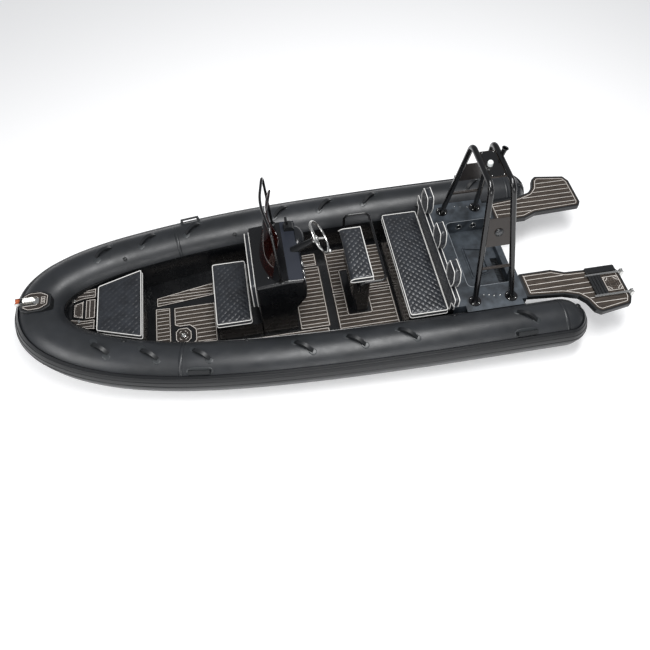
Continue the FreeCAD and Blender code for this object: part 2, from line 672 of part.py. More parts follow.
anchorLid = padded_outline("anchor_hatch_lid", "XY_Plane", trapezoid(
    "Dim.deckAft + Dim.hatchInset", "Dim.deckAft + Dim.hatchInset + Dim.hatchLength",
    "Dim.hatchAftHalf", "Dim.hatchForeHalf"), "Dim.lidThickness", offset="Dim.deckTop - Dim.lidThickness")
keep(rounded(anchorLid, "Dim.lidThickness / 2", is_upright), "anchor_hatch_lid")


# Bow locker: an open box with sloping sides, its lid and cushion
def bow_outline(inset):
    """The locker's outline, moved in by a wall or out by a cushion's lap."""
    return trapezoid("Dim.bowSeatAft + %s" % inset, "Dim.bowSeatFore - %s" % inset,
                     "Dim.bowSeatAftHalf - %s" % inset, "Dim.bowSeatForeHalf - %s" % inset)


bowLocker = padded_outline("bow_locker", "XY_Plane", bow_outline("0"),
                           "Dim.bowLidLow - Dim.seatGap - Dim.bowLockerFloor", offset="Dim.bowLockerFloor")
pocketed(bowLocker, "bow_locker_space", bow_outline("Dim.boxWall"), "Dim.bowLidLow - Dim.seatGap",
         "Dim.bowLidLow - Dim.seatGap - Dim.bowLockerFloor - Dim.boxWall")
keep(bowLocker, "bow_locker")
keep(padded_outline("bow_locker_lid", "XY_Plane", bow_outline("0"), "Dim.lidThickness",
                    offset="Dim.bowLidLow"), "bow_locker_lid")
bowCushion = padded_outline("bow_cushion", "XY_Plane", trapezoid(
    "Dim.bowSeatAft", "Dim.bowSeatFore + Dim.bowCushionLap",
    "Dim.bowSeatAftHalf + Dim.bowCushionLap", "Dim.bowSeatForeHalf + Dim.bowCushionLap"),
    "Dim.cushionThickness", offset="Dim.bowSeatTop - Dim.cushionThickness")
keep(rounded(bowCushion, "Dim.cushionRound", is_top(size("bowSeatTop"))), "bow_cushion")

# Console: a moulded housing with a raked helm face and a knee recess, from its side profile
console = padded_outline("console", "XZ_Plane", [
    ("Dim.consoleAft - Dim.helmSlope + Dim.kneeDepth", "Dim.floorTop"),
    ("Dim.consoleFore", "Dim.floorTop"),
    ("Dim.consoleFore", "Dim.consoleTop - 30"),
    ("Dim.consoleAft + Dim.dashLength", "Dim.consoleTop + 10"),
    ("Dim.consoleAft", "Dim.consoleTop"),
    ("Dim.consoleAft - Dim.helmSlope", "Dim.consoleTop - Dim.helmPanel"),
    ("Dim.consoleAft - Dim.helmSlope", "Dim.floorTop + Dim.kneeHeight"),
    ("Dim.consoleAft - Dim.helmSlope + Dim.kneeDepth",
     "Dim.floorTop + Dim.kneeHeight - Dim.kneeRise")],
    "2 * Dim.consoleHalf", middle=True)


def is_side_edge(edge):
    """The console's side edges, apart from those on the floor and in the knee recess."""
    box = edge.BoundBox
    return box.YLength < 1 and box.ZMax > size("floorTop") + size("kneeHeight") + 1 and \
        abs(box.YMin) > size("consoleHalf") - 1


keep(rounded(console, "Dim.consoleRound", is_side_edge), "console")

# Seat in front of the console: locker, lid, cushion and the pad on the console's front wall
frontLocker = padded_outline("console_seat_locker", "XY_Plane",
                             rectangle("Dim.consoleFore", "Dim.frontSeatFore", "Dim.frontSeatHalf"),
                             "Dim.frontLidLow - Dim.seatGap - Dim.floorTop", offset="Dim.floorTop")
pocketed(frontLocker, "console_seat_space",
         rectangle("Dim.frontSeatAft + Dim.boxWall", "Dim.frontSeatFore - Dim.boxWall",
                   "Dim.frontSeatHalf - Dim.boxWall"),
         "Dim.frontLidLow - Dim.seatGap", "Dim.frontLidLow - Dim.seatGap - Dim.floorTop - Dim.boxWall")
keep(frontLocker, "console_seat_locker")
frontOutline = rectangle("Dim.frontSeatAft", "Dim.frontSeatFore", "Dim.frontSeatHalf")
keep(padded_outline("console_seat_lid", "XY_Plane", frontOutline, "Dim.lidThickness",
                    offset="Dim.frontLidLow"), "console_seat_lid")
frontCushion = padded_outline("console_seat_cushion", "XY_Plane", frontOutline, "Dim.cushionThickness",
                              offset="Dim.frontSeatTop - Dim.cushionThickness")
keep(rounded(frontCushion, "Dim.cushionRound", is_top(size("frontSeatTop"))), "console_seat_cushion")
frontPad = padded_outline("console_backrest", "YZ_Plane", [
    ("-(Dim.consoleHalf - Dim.padInset)", "Dim.consoleTop - Dim.padInset - Dim.frontRestHeight"),
    ("Dim.consoleHalf - Dim.padInset", "Dim.consoleTop - Dim.padInset - Dim.frontRestHeight"),
    ("Dim.consoleHalf - Dim.padInset", "Dim.consoleTop - Dim.padInset"),
    ("-(Dim.consoleHalf - Dim.padInset)", "Dim.consoleTop - Dim.padInset")],
    "Dim.backrestThickness", offset="Dim.consoleFore")
keep(rounded(frontPad, "Dim.cushionRound", lambda edge: edge.BoundBox.XMin > size("consoleFore") + 1),
     "console_backrest")

# Windscreen: a hoop of tube on the dash, and a curved pane that leans aft behind it
dashTop = size("consoleTop")
footX = size("consoleAft") + size("frameFoot")
frameFoot = Vec(footX, size("frameHalf") + size("railTube") / 2, dashTop - 20)
frameCorner = Vec(footX + size("frameLean"), size("frameHalf"), size("frameTop"))
frameFront = Vec(frameCorner.x + size("frameBow"), 0, size("frameTop") + 20)


def across(point):
    """The same point on the other side of the boat."""
    return Vec(point.x, -point.y, point.z)


frameShape = tube_along([frameFoot, frameCorner, frameFront, across(frameCorner), across(frameFoot)],
                        size("railTube") / 2, [size("frameBend"), size("frameHalf") * 2, size("frameBend")])
keep(shaped("windscreen_frame", frameShape.cut(console.Shape)), "windscreen_frame")
paneHalf = size("frameHalf") - 2 * size("railTube")
paneSide = size("consoleAft") + size("paneFoot")
paneLow = dashTop - 60


def pane_arc(shift):
    x = paneSide + shift
    return Part.Arc(Vec(x, -paneHalf, paneLow), Vec(x + size("paneBow"), 0, paneLow),
                    Vec(x, paneHalf, paneLow)).toShape()


def pane_side(y):
    return Part.LineSegment(Vec(paneSide, y, paneLow),
                            Vec(paneSide + size("paneThickness"), y, paneLow)).toShape()


paneWire = Part.Wire(Part.sortEdges([pane_arc(0), pane_arc(size("paneThickness")), pane_side(-paneHalf),
                                     pane_side(paneHalf)])[0])
pane = Part.Face(paneWire).extrude(Vec(-size("paneLean"), 0, size("paneTop") - paneLow))
paneWindow = softened(slab((0, nose), (-paneHalf - 1, paneHalf + 1), (0, size("paneTop"))), size("frameBend"),
                      lambda edge: edge.BoundBox.YLength < 1 and edge.BoundBox.ZMin > dashTop)
keep(shaped("windscreen", pane.common(paneWindow).cut(console.Shape)), "windscreen")

# Steering: a boss on the console's helm face and the wheel on its raked shaft
rake = math.radians(size("wheelRake"))
shaft = Vec(-math.cos(rake), 0, math.sin(rake))
wheelCentre = Vec(size("consoleAft") - size("wheelReach"), 0, dashTop + size("wheelRise"))
hubBack = wheelCentre - shaft * (size("hubLength") + size("wheelDish"))
bossLength = size("wheelReach") + size("consoleRound")
boss = Part.makeCone(size("hubRadius") * 1.3, size("hubRadius") * 0.8, bossLength,
                     hubBack - shaft * (bossLength + size("hubClear")), shaft).cut(console.Shape)
boss = sorted(boss.Solids, key=lambda s: s.CenterOfMass.x)[0]
shaftFoot = hubBack - shaft * 2 * size("hubClear")
shaftPin = Part.makeCylinder(size("shaftRadius"), size("hubLength"), shaftFoot, shaft)
keep(shaped("steering_boss", boss.fuse(shaftPin)), "steering_boss")
rim = Part.makeTorus(size("wheelRadius"), size("wheelRim"), wheelCentre, shaft)
hub = Part.makeCylinder(size("hubRadius"), size("hubLength"), hubBack, shaft)
hubBore = Part.makeCylinder(size("shaftRadius") + size("pinClearance"), size("hubLength"), shaftFoot, shaft)
spokes = []
dishTurn = math.degrees(math.atan2(size("wheelDish"), size("wheelRadius")))
spokeEnd = size("wheelRadius") / math.cos(math.radians(dishTurn))
for turn in (90, 210, 330):
    arm = slab((size("hubRadius") / 2, spokeEnd), (-11, 11), (-4, 4))
    arm.rotate(Vec(0, 0, 0), Vec(0, 1, 0), -dishTurn)
    arm.rotate(Vec(0, 0, 0), Vec(0, 0, 1), turn)
    arm.Placement = FreeCAD.Placement(wheelCentre - shaft * size("wheelDish"),
                                      FreeCAD.Rotation(Vec(0, 0, 1), shaft)).multiply(arm.Placement)
    spokes.append(arm)
keep(shaped("steering_wheel", rim.fuse([hub] + spokes).cut(hubBore)), "steering_wheel")

# Throttle: a round housing on the dash with a lever and its grip
throttleX = size("consoleAft") + size("throttleRadius") + 4
throttleLow = -size("throttleSide") - size("throttleWidth")
housing = Part.makeCylinder(size("throttleRadius"), size("throttleWidth"),
                            Vec(throttleX, throttleLow, dashTop + 10), Vec(0, 1, 0))
leverMiddle = throttleLow + size("throttleWidth") / 2
leverHead = Vec(throttleX + 25, leverMiddle, dashTop + 10 + size("leverLength"))
lever = tube_along([Vec(throttleX, leverMiddle, dashTop + 20), leverHead], 10, [])
grip = Part.makeCylinder(15, 2 * size("throttleWidth") / 3, leverHead - Vec(0, size("throttleWidth") / 3, 0),
                         Vec(0, 1, 0))
keep(shaped("throttle", housing.fuse([lever, grip]).cut(console.Shape)), "throttle")

# Helm seat: a pod with a toe recess, a cushion with a rolled front, and a rail round its back
helmBase = padded_outline("helm_seat_base", "XZ_Plane", [
    ("Dim.helmAft + Dim.boxWall", "Dim.floorTop"),
    ("Dim.helmFore - Dim.toeDepth", "Dim.floorTop"),
    ("Dim.helmFore - Dim.toeDepth", "Dim.floorTop + Dim.toeHeight"),
    ("Dim.helmFore - Dim.boxWall", "Dim.floorTop + Dim.toeHeight + Dim.toeDepth"),
    ("Dim.helmFore - Dim.boxWall", "Dim.helmTop - Dim.helmCushion"),
    ("Dim.helmAft + Dim.boxWall", "Dim.helmTop - Dim.helmCushion")],
    "2 * Dim.helmBaseHalf", middle=True)
keep(rounded(helmBase, "Dim.consoleRound", is_upright), "helm_seat_base")
helmNose = size("helmFore") + size("helmCushion") / 2
helmSeat = padded_outline("helm_seat_cushion", "XZ_Plane", [
    ("Dim.helmAft", "Dim.helmTop - Dim.helmCushion"),
    ("Dim.helmFore + Dim.helmCushion / 2", "Dim.helmTop - Dim.helmCushion"),
    ("Dim.helmFore + Dim.helmCushion / 2", "Dim.helmTop"),
    ("Dim.helmAft", "Dim.helmTop")], "2 * Dim.helmHalf", middle=True)
keep(rounded(helmSeat, "Dim.helmCushion / 2 - 1",
             lambda edge: edge.BoundBox.XMin > helmNose - 1 and edge.BoundBox.ZLength < 1),
     "helm_seat_cushion")
railLow = size("helmTop") - size("helmCushion") - 2 * size("railTube")
railFore = size("helmFore") - 2 * size("railTube")
railPoints = [Vec(railFore, size("helmBaseHalf") - size("railTube"), railLow),
              Vec(railFore, size("seatRailHalf"), railLow),
              Vec(railFore, size("seatRailHalf"), size("seatRailHeight")),
              Vec(size("helmAft") - size("seatRailBack"), size("seatRailHalf"), size("seatRailHeight"))]
railPoints += [across(p) for p in reversed(railPoints)]
rail = tube_along(railPoints, size("railTube") / 2, [size("seatRailBend")] * 6).cut(helmBase.Shape)
keep(shaped("helm_seat_rail", rail), "helm_seat_rail")

# Bench: base, lid and cushion hinged at the front, backrest and back bolsters
benchBase = padded_outline("bench_base", "XY_Plane",
                           rectangle("Dim.sternFore", "Dim.benchFore", "Dim.benchHalf"),
                           "Dim.benchLidLow - Dim.seatGap - Dim.floorTop", offset="Dim.floorTop")
pocketed(benchBase, "bench_space",
         rectangle("Dim.benchAft + Dim.boxWall", "Dim.benchFore - Dim.boxWall",
                   "Dim.benchHalf - Dim.boxWall"),
         "Dim.benchLidLow - Dim.seatGap", "Dim.benchLidLow - Dim.seatGap - Dim.floorTop - Dim.boxWall")
keep(benchBase, "bench_base")
benchOutline = rectangle("Dim.benchAft", "Dim.benchFore", "Dim.benchHalf")
keep(padded_outline("bench_lid", "XY_Plane", benchOutline, "Dim.lidThickness", offset="Dim.benchLidLow"),
     "bench_lid")
benchCushion = padded_outline(
    "bench_cushion", "XY_Plane", rectangle("Dim.benchAft", "Dim.benchFore", "(Dim.benchHalf + Dim.benchLap)"),
    "Dim.cushionThickness", offset="Dim.benchTop - Dim.cushionThickness")
keep(rounded(benchCushion, "Dim.cushionRound", is_top(size("benchTop"))), "bench_cushion")
backrest = padded_outline("bench_backrest", "YZ_Plane", [
    ("-Dim.benchHalf", "Dim.benchLidLow - Dim.seatGap"), ("Dim.benchHalf", "Dim.benchLidLow - Dim.seatGap"),
    ("Dim.benchHalf", "Dim.wingLow"), ("Dim.benchHalf + Dim.backrestWing", "Dim.wingLow"),
    ("Dim.benchHalf + Dim.backrestWing", "Dim.backrestTop"),
    ("-(Dim.benchHalf + Dim.backrestWing)", "Dim.backrestTop"),
    ("-(Dim.benchHalf + Dim.backrestWing)", "Dim.wingLow"), ("-Dim.benchHalf", "Dim.wingLow")],
    "Dim.backrestThickness", offset="Dim.sternFore")
keep(rounded(backrest, "Dim.backrestThickness", lambda edge: edge.BoundBox.ZMin > size("backrestTop") - 1
             and edge.BoundBox.YLength < 1), "bench_backrest")


def bolster(middle):
    """A six-sided pad standing on the backrest."""
    half = size("bolsterWidth") / 2
    shoulder = half - size("bolsterPoint")
    low, high = size("backrestTop"), size("bolsterTop")
    waist = (low + high) / 2
    outline = [(-shoulder, low), (shoulder, low), (half, waist), (shoulder, high), (-shoulder, high),
               (-half, waist)]
    back = size("sternFore") + (size("backrestThickness") - size("bolsterThickness")) / 2
    corners = [Vec(back, middle + y, z) for y, z in outline]
    return Part.Face(Part.makePolygon(corners + [corners[0]])).extrude(Vec(size("bolsterThickness"), 0, 0))


keep(shaped("back_bolsters", Part.makeCompound([bolster(k * size("bolsterPitch")) for k in (-1, 0, 1)])),
     "back_bolsters")

# Stern deck: side boxes with a flange over the collar, round a splash well with a hatch in its floor
sternX = (size("transomThickness"), size("sternFore"))
benchHalf = size("benchHalf")
stern = slab(sternX, (-benchHalf, benchHalf), (size("floorTop"), size("sternTop")))
flange = slab((sternX[0], size("straightEnd")), (-size("tubeHalfBeam"), size("tubeHalfBeam")),
              (size("sternTop") - size("sternFlange"), size("sternTop")))
for side in (1, -1):
    flange = flange.cut(Part.makeCylinder(linerOut + size("seatGap"), FAR,
                                          Vec(-FAR / 2, side * size("tubeHalfBeam"), size("tubeHeight")),
                                          Vec(1, 0, 0)))
flange = sorted(flange.Solids, key=lambda s: -s.Volume)[0]
wellX = (sternX[0] - size("wellRound") - 1, sternX[1] - size("wellBulkhead"))
well = slab(wellX, (-size("wellHalf"), size("wellHalf")), (size("wellFloor"), FAR))
stern = stern.fuse(flange).removeSplitter().cut(softened(well, size("wellRound"), is_upright))
lidX = (size("sternLidFore") - size("sternLid"), size("sternLidFore"))
lidHalf = (size("sternLidHalf") - size("sternLidTaper"), size("sternLidHalf"))
stern = stern.cut(prism((lidX[0] - gap, lidX[1] + gap), (lidHalf[0] + gap, lidHalf[1] + gap),
                        size("wellFloor") - size("lidThickness") - size("seatGap"), FAR))
stern = stern.cut(prism((lidX[0] + ledge, lidX[1] - ledge), (lidHalf[0] - ledge, lidHalf[1] - ledge),
                        size("floorTop") + 3 * size("boxWall"), FAR))
stern = stern.cut(slab((sternX[0] - 1, sternX[0] + size("drainPit")),
                       (-size("boxWall"), size("wellHalf") - size("boxWall")),
                       (size("wellFloor") - size("drainDepth"), FAR)))
for station in (lidX[0], lidX[1]):
    rimPoint = Vec(station, 1 - size("wellHalf"), (size("wellFloor") + size("sternTop")) / 2)
    stern = stern.cut(Part.makeCylinder(size("scupperRadius"), 3 * size("boxWall"), rimPoint, Vec(0, -1, 0)))
keep(shaped("stern_deck", stern), "stern_deck")
sternLid = padded_outline("stern_hatch_lid", "XY_Plane", trapezoid(
    "Dim.sternLidFore - Dim.sternLid", "Dim.sternLidFore", "Dim.sternLidHalf - Dim.sternLidTaper",
    "Dim.sternLidHalf"), "Dim.lidThickness", offset="Dim.wellFloor - Dim.lidThickness")
keep(rounded(sternLid, "Dim.lidThickness / 2", is_upright), "stern_hatch_lid")

# Arch: two hoops on flanged feet, a rod holder, plates and bars between the hoops, and a lamp
footZ = size("sternTop")


def arch_leg(foot, top):
    """The foot and the upper bend of a hoop's port leg."""
    return Vec(foot, size("archFootHalf"), footZ), Vec(top, size("archTopHalf"), size("archTop"))


def hoop(leg, radius):
    """A hoop of a radius over both legs, cut off level with the deck."""
    foot, bend = leg
    start = foot + (foot - bend).normalize() * size("archTube")
    points = [start, bend, across(bend), across(start)]
    return tube_along(points, radius, [size("archBend")] * 2).cut(
        slab((-FAR, FAR), (-FAR, FAR), (0, footZ)))


def foot_plates(leg):
    return [Part.makeCylinder(size("archTube") * 1.15, size("archPlate"), spot, Vec(0, 0, 1))
            for spot in (leg[0], across(leg[0]))]


frontLeg = arch_leg(size("archFrontFoot"), size("archFrontTop"))
rearLeg = arch_leg(size("archRearFoot"), size("archRearTop"))
frontHoop = hoop(frontLeg, size("archTube") / 2).fuse(foot_plates(frontLeg))
rearHoop = hoop(rearLeg, size("archTube") / 2).fuse(foot_plates(rearLeg))
rodFoot = Vec(size("archRearTop"), -2 * size("rodTube"), size("archTop") - size("rodDrop"))
rodWay = Vec(-size("rodLean"), 0, size("rodLength"))
rodHolder = Part.makeCylinder(size("rodTube") / 2, rodWay.Length, rodFoot, rodWay)
rodBore = Part.makeCylinder(size("rodTube") / 2 - 4, rodWay.Length, rodFoot + rodWay * 0.65, rodWay)
keep(shaped("arch_front_hoop", frontHoop), "arch_front_hoop")
keep(shaped("arch_rear_hoop", rearHoop.fuse(rodHolder).cut(rodBore)), "arch_rear_hoop")


def leg_point(leg, level, side):
    share = (level - footZ) / (size("archTop") - footZ)
    point = leg[0] + (leg[1] - leg[0]) * share
    return Vec(point.x, side * point.y, point.z)


def lying_tube(first, last, radius):
    return Part.makeCylinder(radius, (last - first).Length, first, last - first)


plates = []
low, high = size("archPlateLow"), size("archPlateHigh")
for side in (1, -1):
    corners = [leg_point(frontLeg, low, side), leg_point(frontLeg, high, side),
               leg_point(rearLeg, high, side), leg_point(rearLeg, low, side)]
    normal = (corners[1] - corners[0]).cross(corners[3] - corners[0]).normalize()
    corners[2] = corners[2] - normal * (corners[2] - corners[0]).dot(normal)
    plateFace = Part.Face(Part.makePolygon(corners + [corners[0]]))
    plateFace.translate(normal * (-size("archPlate") / 2))
    plates.append(plateFace.extrude(normal * size("archPlate")))
    plates.append(lying_tube(leg_point(frontLeg, size("archBarHeight"), side),
                             leg_point(rearLeg, size("archBarHeight"), side), size("archBar") / 2))
plates.append(slab((size("archRearTop"), size("archFrontTop")), (-size("topPlateHalf"), size("topPlateHalf")),
                   (size("archTop") - size("archPlate") / 2, size("archTop") + size("archPlate") / 2)))
clearOfHoops = [hoop(leg, size("archTube") / 2 + size("seatGap")) for leg in (frontLeg, rearLeg)]
clearOfRod = Part.makeCylinder(size("rodTube") / 2 + size("seatGap"), rodWay.Length,
                               rodFoot - rodWay * 0.2, rodWay)
plates = [plate.cut(clearOfHoops + [clearOfRod]) for plate in plates]
plates = [sorted(plate.Solids, key=lambda s: -s.Volume)[0] for plate in plates]
keep(shaped("arch_plates", Part.makeCompound(plates)), "arch_plates")
lampFoot = Vec(size("archFrontTop") - size("lampSetback"), size("lampRadius") / 2,
               size("archTop") + size("archPlate") / 2)
lampTall = size("lampHeight") - size("lampRadius")
lampBall = Part.makeSphere(size("lampRadius"), lampFoot + Vec(0, 0, lampTall))
lampBall = lampBall.cut(slab((-FAR, FAR), (-FAR, FAR), (0, lampFoot.z + lampTall)))
lampPost = Part.makeCylinder(size("lampRadius"), lampTall, lampFoot)
keep(shaped("arch_light", lampPost.fuse(lampBall).removeSplitter()), "arch_light")


# Swim platforms either side of the motor cut-out, their tread recessed
def along(share):
    return "-%s * Dim.platformLength" % share


WAIST = "Dim.platformInner + Dim.platformWaist"
PLATFORM = [("0", "Dim.platformInner"), (along(0.34), "Dim.platformInner"), (along(0.47), WAIST),
            (along(0.97), WAIST + " + 20"), (along(1), WAIST + " + 80"),
            (along(1), "Dim.platformWing - 140"), (along(0.96), "Dim.platformWing - 55"),
            (along(0.65), "Dim.platformWing"), (along(0.6), "Dim.platformWing - 45"),
            (along(0.56), "Dim.platformWing - 170"), (along(0.5), "Dim.platformWing - 245"),
            (along(0.36), "Dim.benchHalf + 35"), ("0", "Dim.benchHalf")]
top = size("platformTop")
platform = padded_outline("platform_blank", "XY_Plane", PLATFORM, "Dim.platformThickness",
                          offset="Dim.platformTop - Dim.platformThickness")
platformShape = rounded(platform, "Dim.platformRound", is_upright).Shape
topFace = [face for face in platformShape.Faces if face.BoundBox.ZMin > top - 1][0]
recess = topFace.makeOffset2D(-size("recessInset")).extrude(Vec(0, 0, -size("recessDepth")))
platformShape = platformShape.cut(recess)
keep(shaped("swim_platform_port", platformShape), "swim_platform_port")
keep(shaped("swim_platform_starboard", mirrored(platformShape)), "swim_platform_starboard")

# Swim ladder folded flat on the port platform, hinged on a pin at its aft end
railZ = top + size("ladderClear") + size("ladderTube") / 2
hingeX = size("platformEnd") - size("ladderHinge")
ladderRadius = size("ladderTube") / 2
sides = (size("ladderInner"), size("ladderOuter"))
ladder = []
railRun = Vec(size("ladderLength"), 0, 0)
for y in sides:
    ladder.append(lying_tube(Vec(hingeX, y, railZ), Vec(hingeX, y, railZ) + railRun, ladderRadius))
    ladder.append(lying_tube(Vec(hingeX, y - ladderRadius, railZ), Vec(hingeX, y + ladderRadius, railZ),
                             2 * size("ladderPin")))
for k in range(4):
    stepX = hingeX + size("ladderLength") * 0.62 + size("stepPitch") * k
    ladder.append(slab((stepX, stepX + size("stepWidth")), sides, (railZ - 8, railZ + 8)))
pinHole = lying_tube(Vec(hingeX, sides[0] - 2 * ladderRadius, railZ),
                     Vec(hingeX, sides[1] + 2 * ladderRadius, railZ),
                     size("ladderPin") + size("pinClearance"))
keep(shaped("swim_ladder", ladder[0].fuse(ladder[1:]).cut(pinHole)), "swim_ladder")
hinge = []
for y in sides:
    for way in (1, -1):
        near = y + way * (ladderRadius + 0.5)
        far = near + way * 10
        ear = slab((size("platformEnd") - 2 * size("ladderHinge"), size("platformEnd")),
                   (min(near, far), max(near, far)), (top - size("platformThickness"), railZ + 16))
        hinge.append(softened(ear, 14, lambda edge: edge.BoundBox.ZMin > railZ and edge.BoundBox.XMax < hingeX
                              and edge.BoundBox.XLength < 1 and edge.BoundBox.ZLength < 1))
pins = [lying_tube(Vec(hingeX, y - ladderRadius - 10, railZ), Vec(hingeX, y + ladderRadius + 10, railZ),
                   size("ladderPin")) for y in sides]
pairs = [hinge[2 * k].fuse([hinge[2 * k + 1], pins[k]]) for k in range(2)]
keep(shaped("ladder_hinge", Part.makeCompound(pairs)), "ladder_hinge")


def clear_collar(extra):
    """The collar made thicker by a gap, to trim what stands on it."""
    face = Part.Face(Part.Wire(Part.makeCircle(size("tubeRadius") + extra, ROOT, Vec(1, 0, 0))))
    return [carried(face, 0, SIDE_MOVES), both_halves(carried(face, SIDE_MOVES, len(MOVES)))]


sideClear, bowClear = clear_collar(size("seatGap"))

# Bow step over the bow chamber, with the roller bracket and roller
noseTop = size("tubeHeight") + size("sheerRise") + size("tubeRadius")
stepLevel = noseTop + size("noseRise")
wide = size("noseHalf")
outline = [(nose - size("noseAft"), -0.6 * wide), (nose - size("noseAft") / 2, -wide), (nose + 60, -wide),
           (nose + size("noseFore"), -0.7 * wide), (nose + size("noseFore"), 0.7 * wide), (nose + 60, wide),
           (nose - size("noseAft") / 2, wide), (nose - size("noseAft"), 0.6 * wide)]
stepFoot = noseTop - size("noseDepth")
corners = [Vec(x, y, stepFoot) for x, y in outline]
step = Part.Face(Part.makePolygon(corners + [corners[0]])).extrude(Vec(0, 0, stepLevel - stepFoot))
step = softened(step, 50, is_upright)
step = softened(step, 8, is_top(stepLevel)).cut(bowClear)
keep(shaped("bow_step", sorted(step.Solids, key=lambda s: -s.CenterOfMass.z)[0]), "bow_step")
rollerX = nose + size("rollerReach")
rollerZ = stepLevel + size("channelWall") + size("rollerRadius") / 2
half = size("channelHalf")
inner = half - size("channelWall")
cheeks = [softened(slab((nose - 10, rollerX + 24), (y, y + size("channelWall")),
                        (stepLevel, stepLevel + size("channelHeight"))), 15,
                   lambda edge: edge.BoundBox.ZMin > stepLevel + 1 and edge.BoundBox.XLength < 1
                   and edge.BoundBox.ZLength < 1)
          for y in (-half, inner)]
base = slab((nose - 60, nose + size("noseFore") - 30), (-half, half),
            (stepLevel, stepLevel + size("channelWall")))
pin = Part.makeCylinder(size("rollerPin"), 2 * inner, Vec(rollerX, -inner, rollerZ), Vec(0, 1, 0))
keep(shaped("bow_roller_bracket", cheeks[0].fuse([cheeks[1], base, pin])), "bow_roller_bracket")
rollerHalf = inner - 2
roller = Part.makeCylinder(size("rollerRadius"), 2 * rollerHalf, Vec(rollerX, -rollerHalf, rollerZ),
                           Vec(0, 1, 0))
groove = Part.makeTorus(size("rollerRadius") + 8, 14, Vec(rollerX, 0, rollerZ), Vec(0, 1, 0))
bore = Part.makeCylinder(size("rollerPin") + size("pinClearance"), 2 * rollerHalf,
                         Vec(rollerX, -rollerHalf, rollerZ), Vec(0, 1, 0))
keep(shaped("bow_roller", roller.cut([groove, bore])), "bow_roller")

# Grab handles: straps on the collar's crown, and carry handles low on its sides, by their stations
HANDLES = [4610, 4115, 3585, 2530, 1980, 1430, 120]
SIDE_HANDLES = [3595, 170]


def handle(x, turn, lean):
    """A strap on the collar at a turn from its axis: arched on the crown, squared where it leans."""
    half = size("handleLength") / 2
    low = -size("handleRoot")
    width = size("handleWidth")

    def bow(reach, crest):
        arc = Part.Arc(Vec(-reach, 0, low), Vec(0, 0, crest), Vec(reach, 0, low)).toShape()
        chord = Part.LineSegment(Vec(reach, 0, low), Vec(-reach, 0, low)).toShape()
        return Part.Face(Part.Wire([arc, chord])).extrude(Vec(0, width, 0))

    def squared(reach, crest):
        corners = [Vec(-reach, 0, low), Vec(-0.85 * reach, 0, crest), Vec(0.85 * reach, 0, crest),
                   Vec(reach, 0, low)]
        return Part.Face(Part.makePolygon(corners + [corners[0]])).extrude(Vec(0, width, 0))

    if lean:
        strap = squared(half, size("handleRise")).cut(squared(half * 0.75, size("handleGap")))
    else:
        strap = bow(half, size("handleRise")).cut(bow(half * 0.55, size("handleGap")))
    strap.translate(Vec(0, -width / 2, 0))
    strap.rotate(Vec(0, 0, 0), Vec(0, 0, 1), turn)
    strap.translate(Vec(0, 0, size("tubeRadius")))
    if lean:
        strap.rotate(Vec(0, 0, 0), Vec(1, 0, 0), -lean)
        strap.rotate(Vec(0, 0, 0), Vec(0, 0, 1),
                     math.degrees(math.atan2(half_breadth(x + 1) - half_breadth(x - 1), 2)))
    strap.translate(Vec(x, half_breadth(x), sheer(x)))
    strap = strap.cut([sideClear, bowClear])
    return sorted(strap.Solids, key=lambda s: s.Volume)[-1]


handles = [handle(x, size("handleAngle"), 0) for x in HANDLES]
handles += [handle(x, 0, size("sideHandleAngle")) for x in SIDE_HANDLES]
keep(shaped("grab_handles", Part.makeCompound(handles + [mirrored(h) for h in handles])), "grab_handles")

doc.recompute()
os.makedirs("parts", exist_ok=True)
faults = []
for obj in doc.Objects:
    if "Invalid" in obj.State or "Error" in obj.State:
        faults.append(obj.Label)
for obj in subparts:
    if obj.Shape.isNull() or not obj.Shape.isValid() or not obj.Shape.Solids:
        faults.append(obj.Label)
if faults:
    raise RuntimeError("not sound: " + ", ".join(faults))
for obj in subparts:
    obj.Shape.exportStep("parts/%s.step" % obj.Label)
print(len(subparts), "sub-parts written")
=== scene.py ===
import json
import math
import bmesh
import bpy
import numpy as np
from mathutils import Matrix, Vector


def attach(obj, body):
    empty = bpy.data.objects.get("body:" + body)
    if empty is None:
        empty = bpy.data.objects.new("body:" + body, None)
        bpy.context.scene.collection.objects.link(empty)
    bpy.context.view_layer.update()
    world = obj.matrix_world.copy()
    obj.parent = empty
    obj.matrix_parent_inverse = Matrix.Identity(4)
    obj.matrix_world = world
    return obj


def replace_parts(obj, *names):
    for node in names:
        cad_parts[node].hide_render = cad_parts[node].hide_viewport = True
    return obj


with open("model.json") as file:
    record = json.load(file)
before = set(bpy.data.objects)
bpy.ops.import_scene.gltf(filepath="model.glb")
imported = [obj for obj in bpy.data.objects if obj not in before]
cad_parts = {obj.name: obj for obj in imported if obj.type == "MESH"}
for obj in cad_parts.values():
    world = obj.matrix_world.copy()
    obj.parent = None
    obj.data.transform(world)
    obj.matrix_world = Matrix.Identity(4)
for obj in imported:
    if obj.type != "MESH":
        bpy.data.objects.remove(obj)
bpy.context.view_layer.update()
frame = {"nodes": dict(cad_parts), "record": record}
scene = bpy.context.scene
nodes = frame["nodes"]
print("stage: frame loaded", len(nodes), "nodes")


# materials: a pattern's size is its real one in metres

def hexToLinear(code):
    # sRGB hex to linear light: below 0.04045 divide by 12.92, else the 2.4 power
    value = np.array([int(code[k:k + 2], 16) for k in (1, 3, 5)]) / 255.0
    linear = np.where(value <= 0.04045, value / 12.92, ((value + 0.055) / 1.055) ** 2.4)
    return (*[float(v) for v in linear], 1.0)


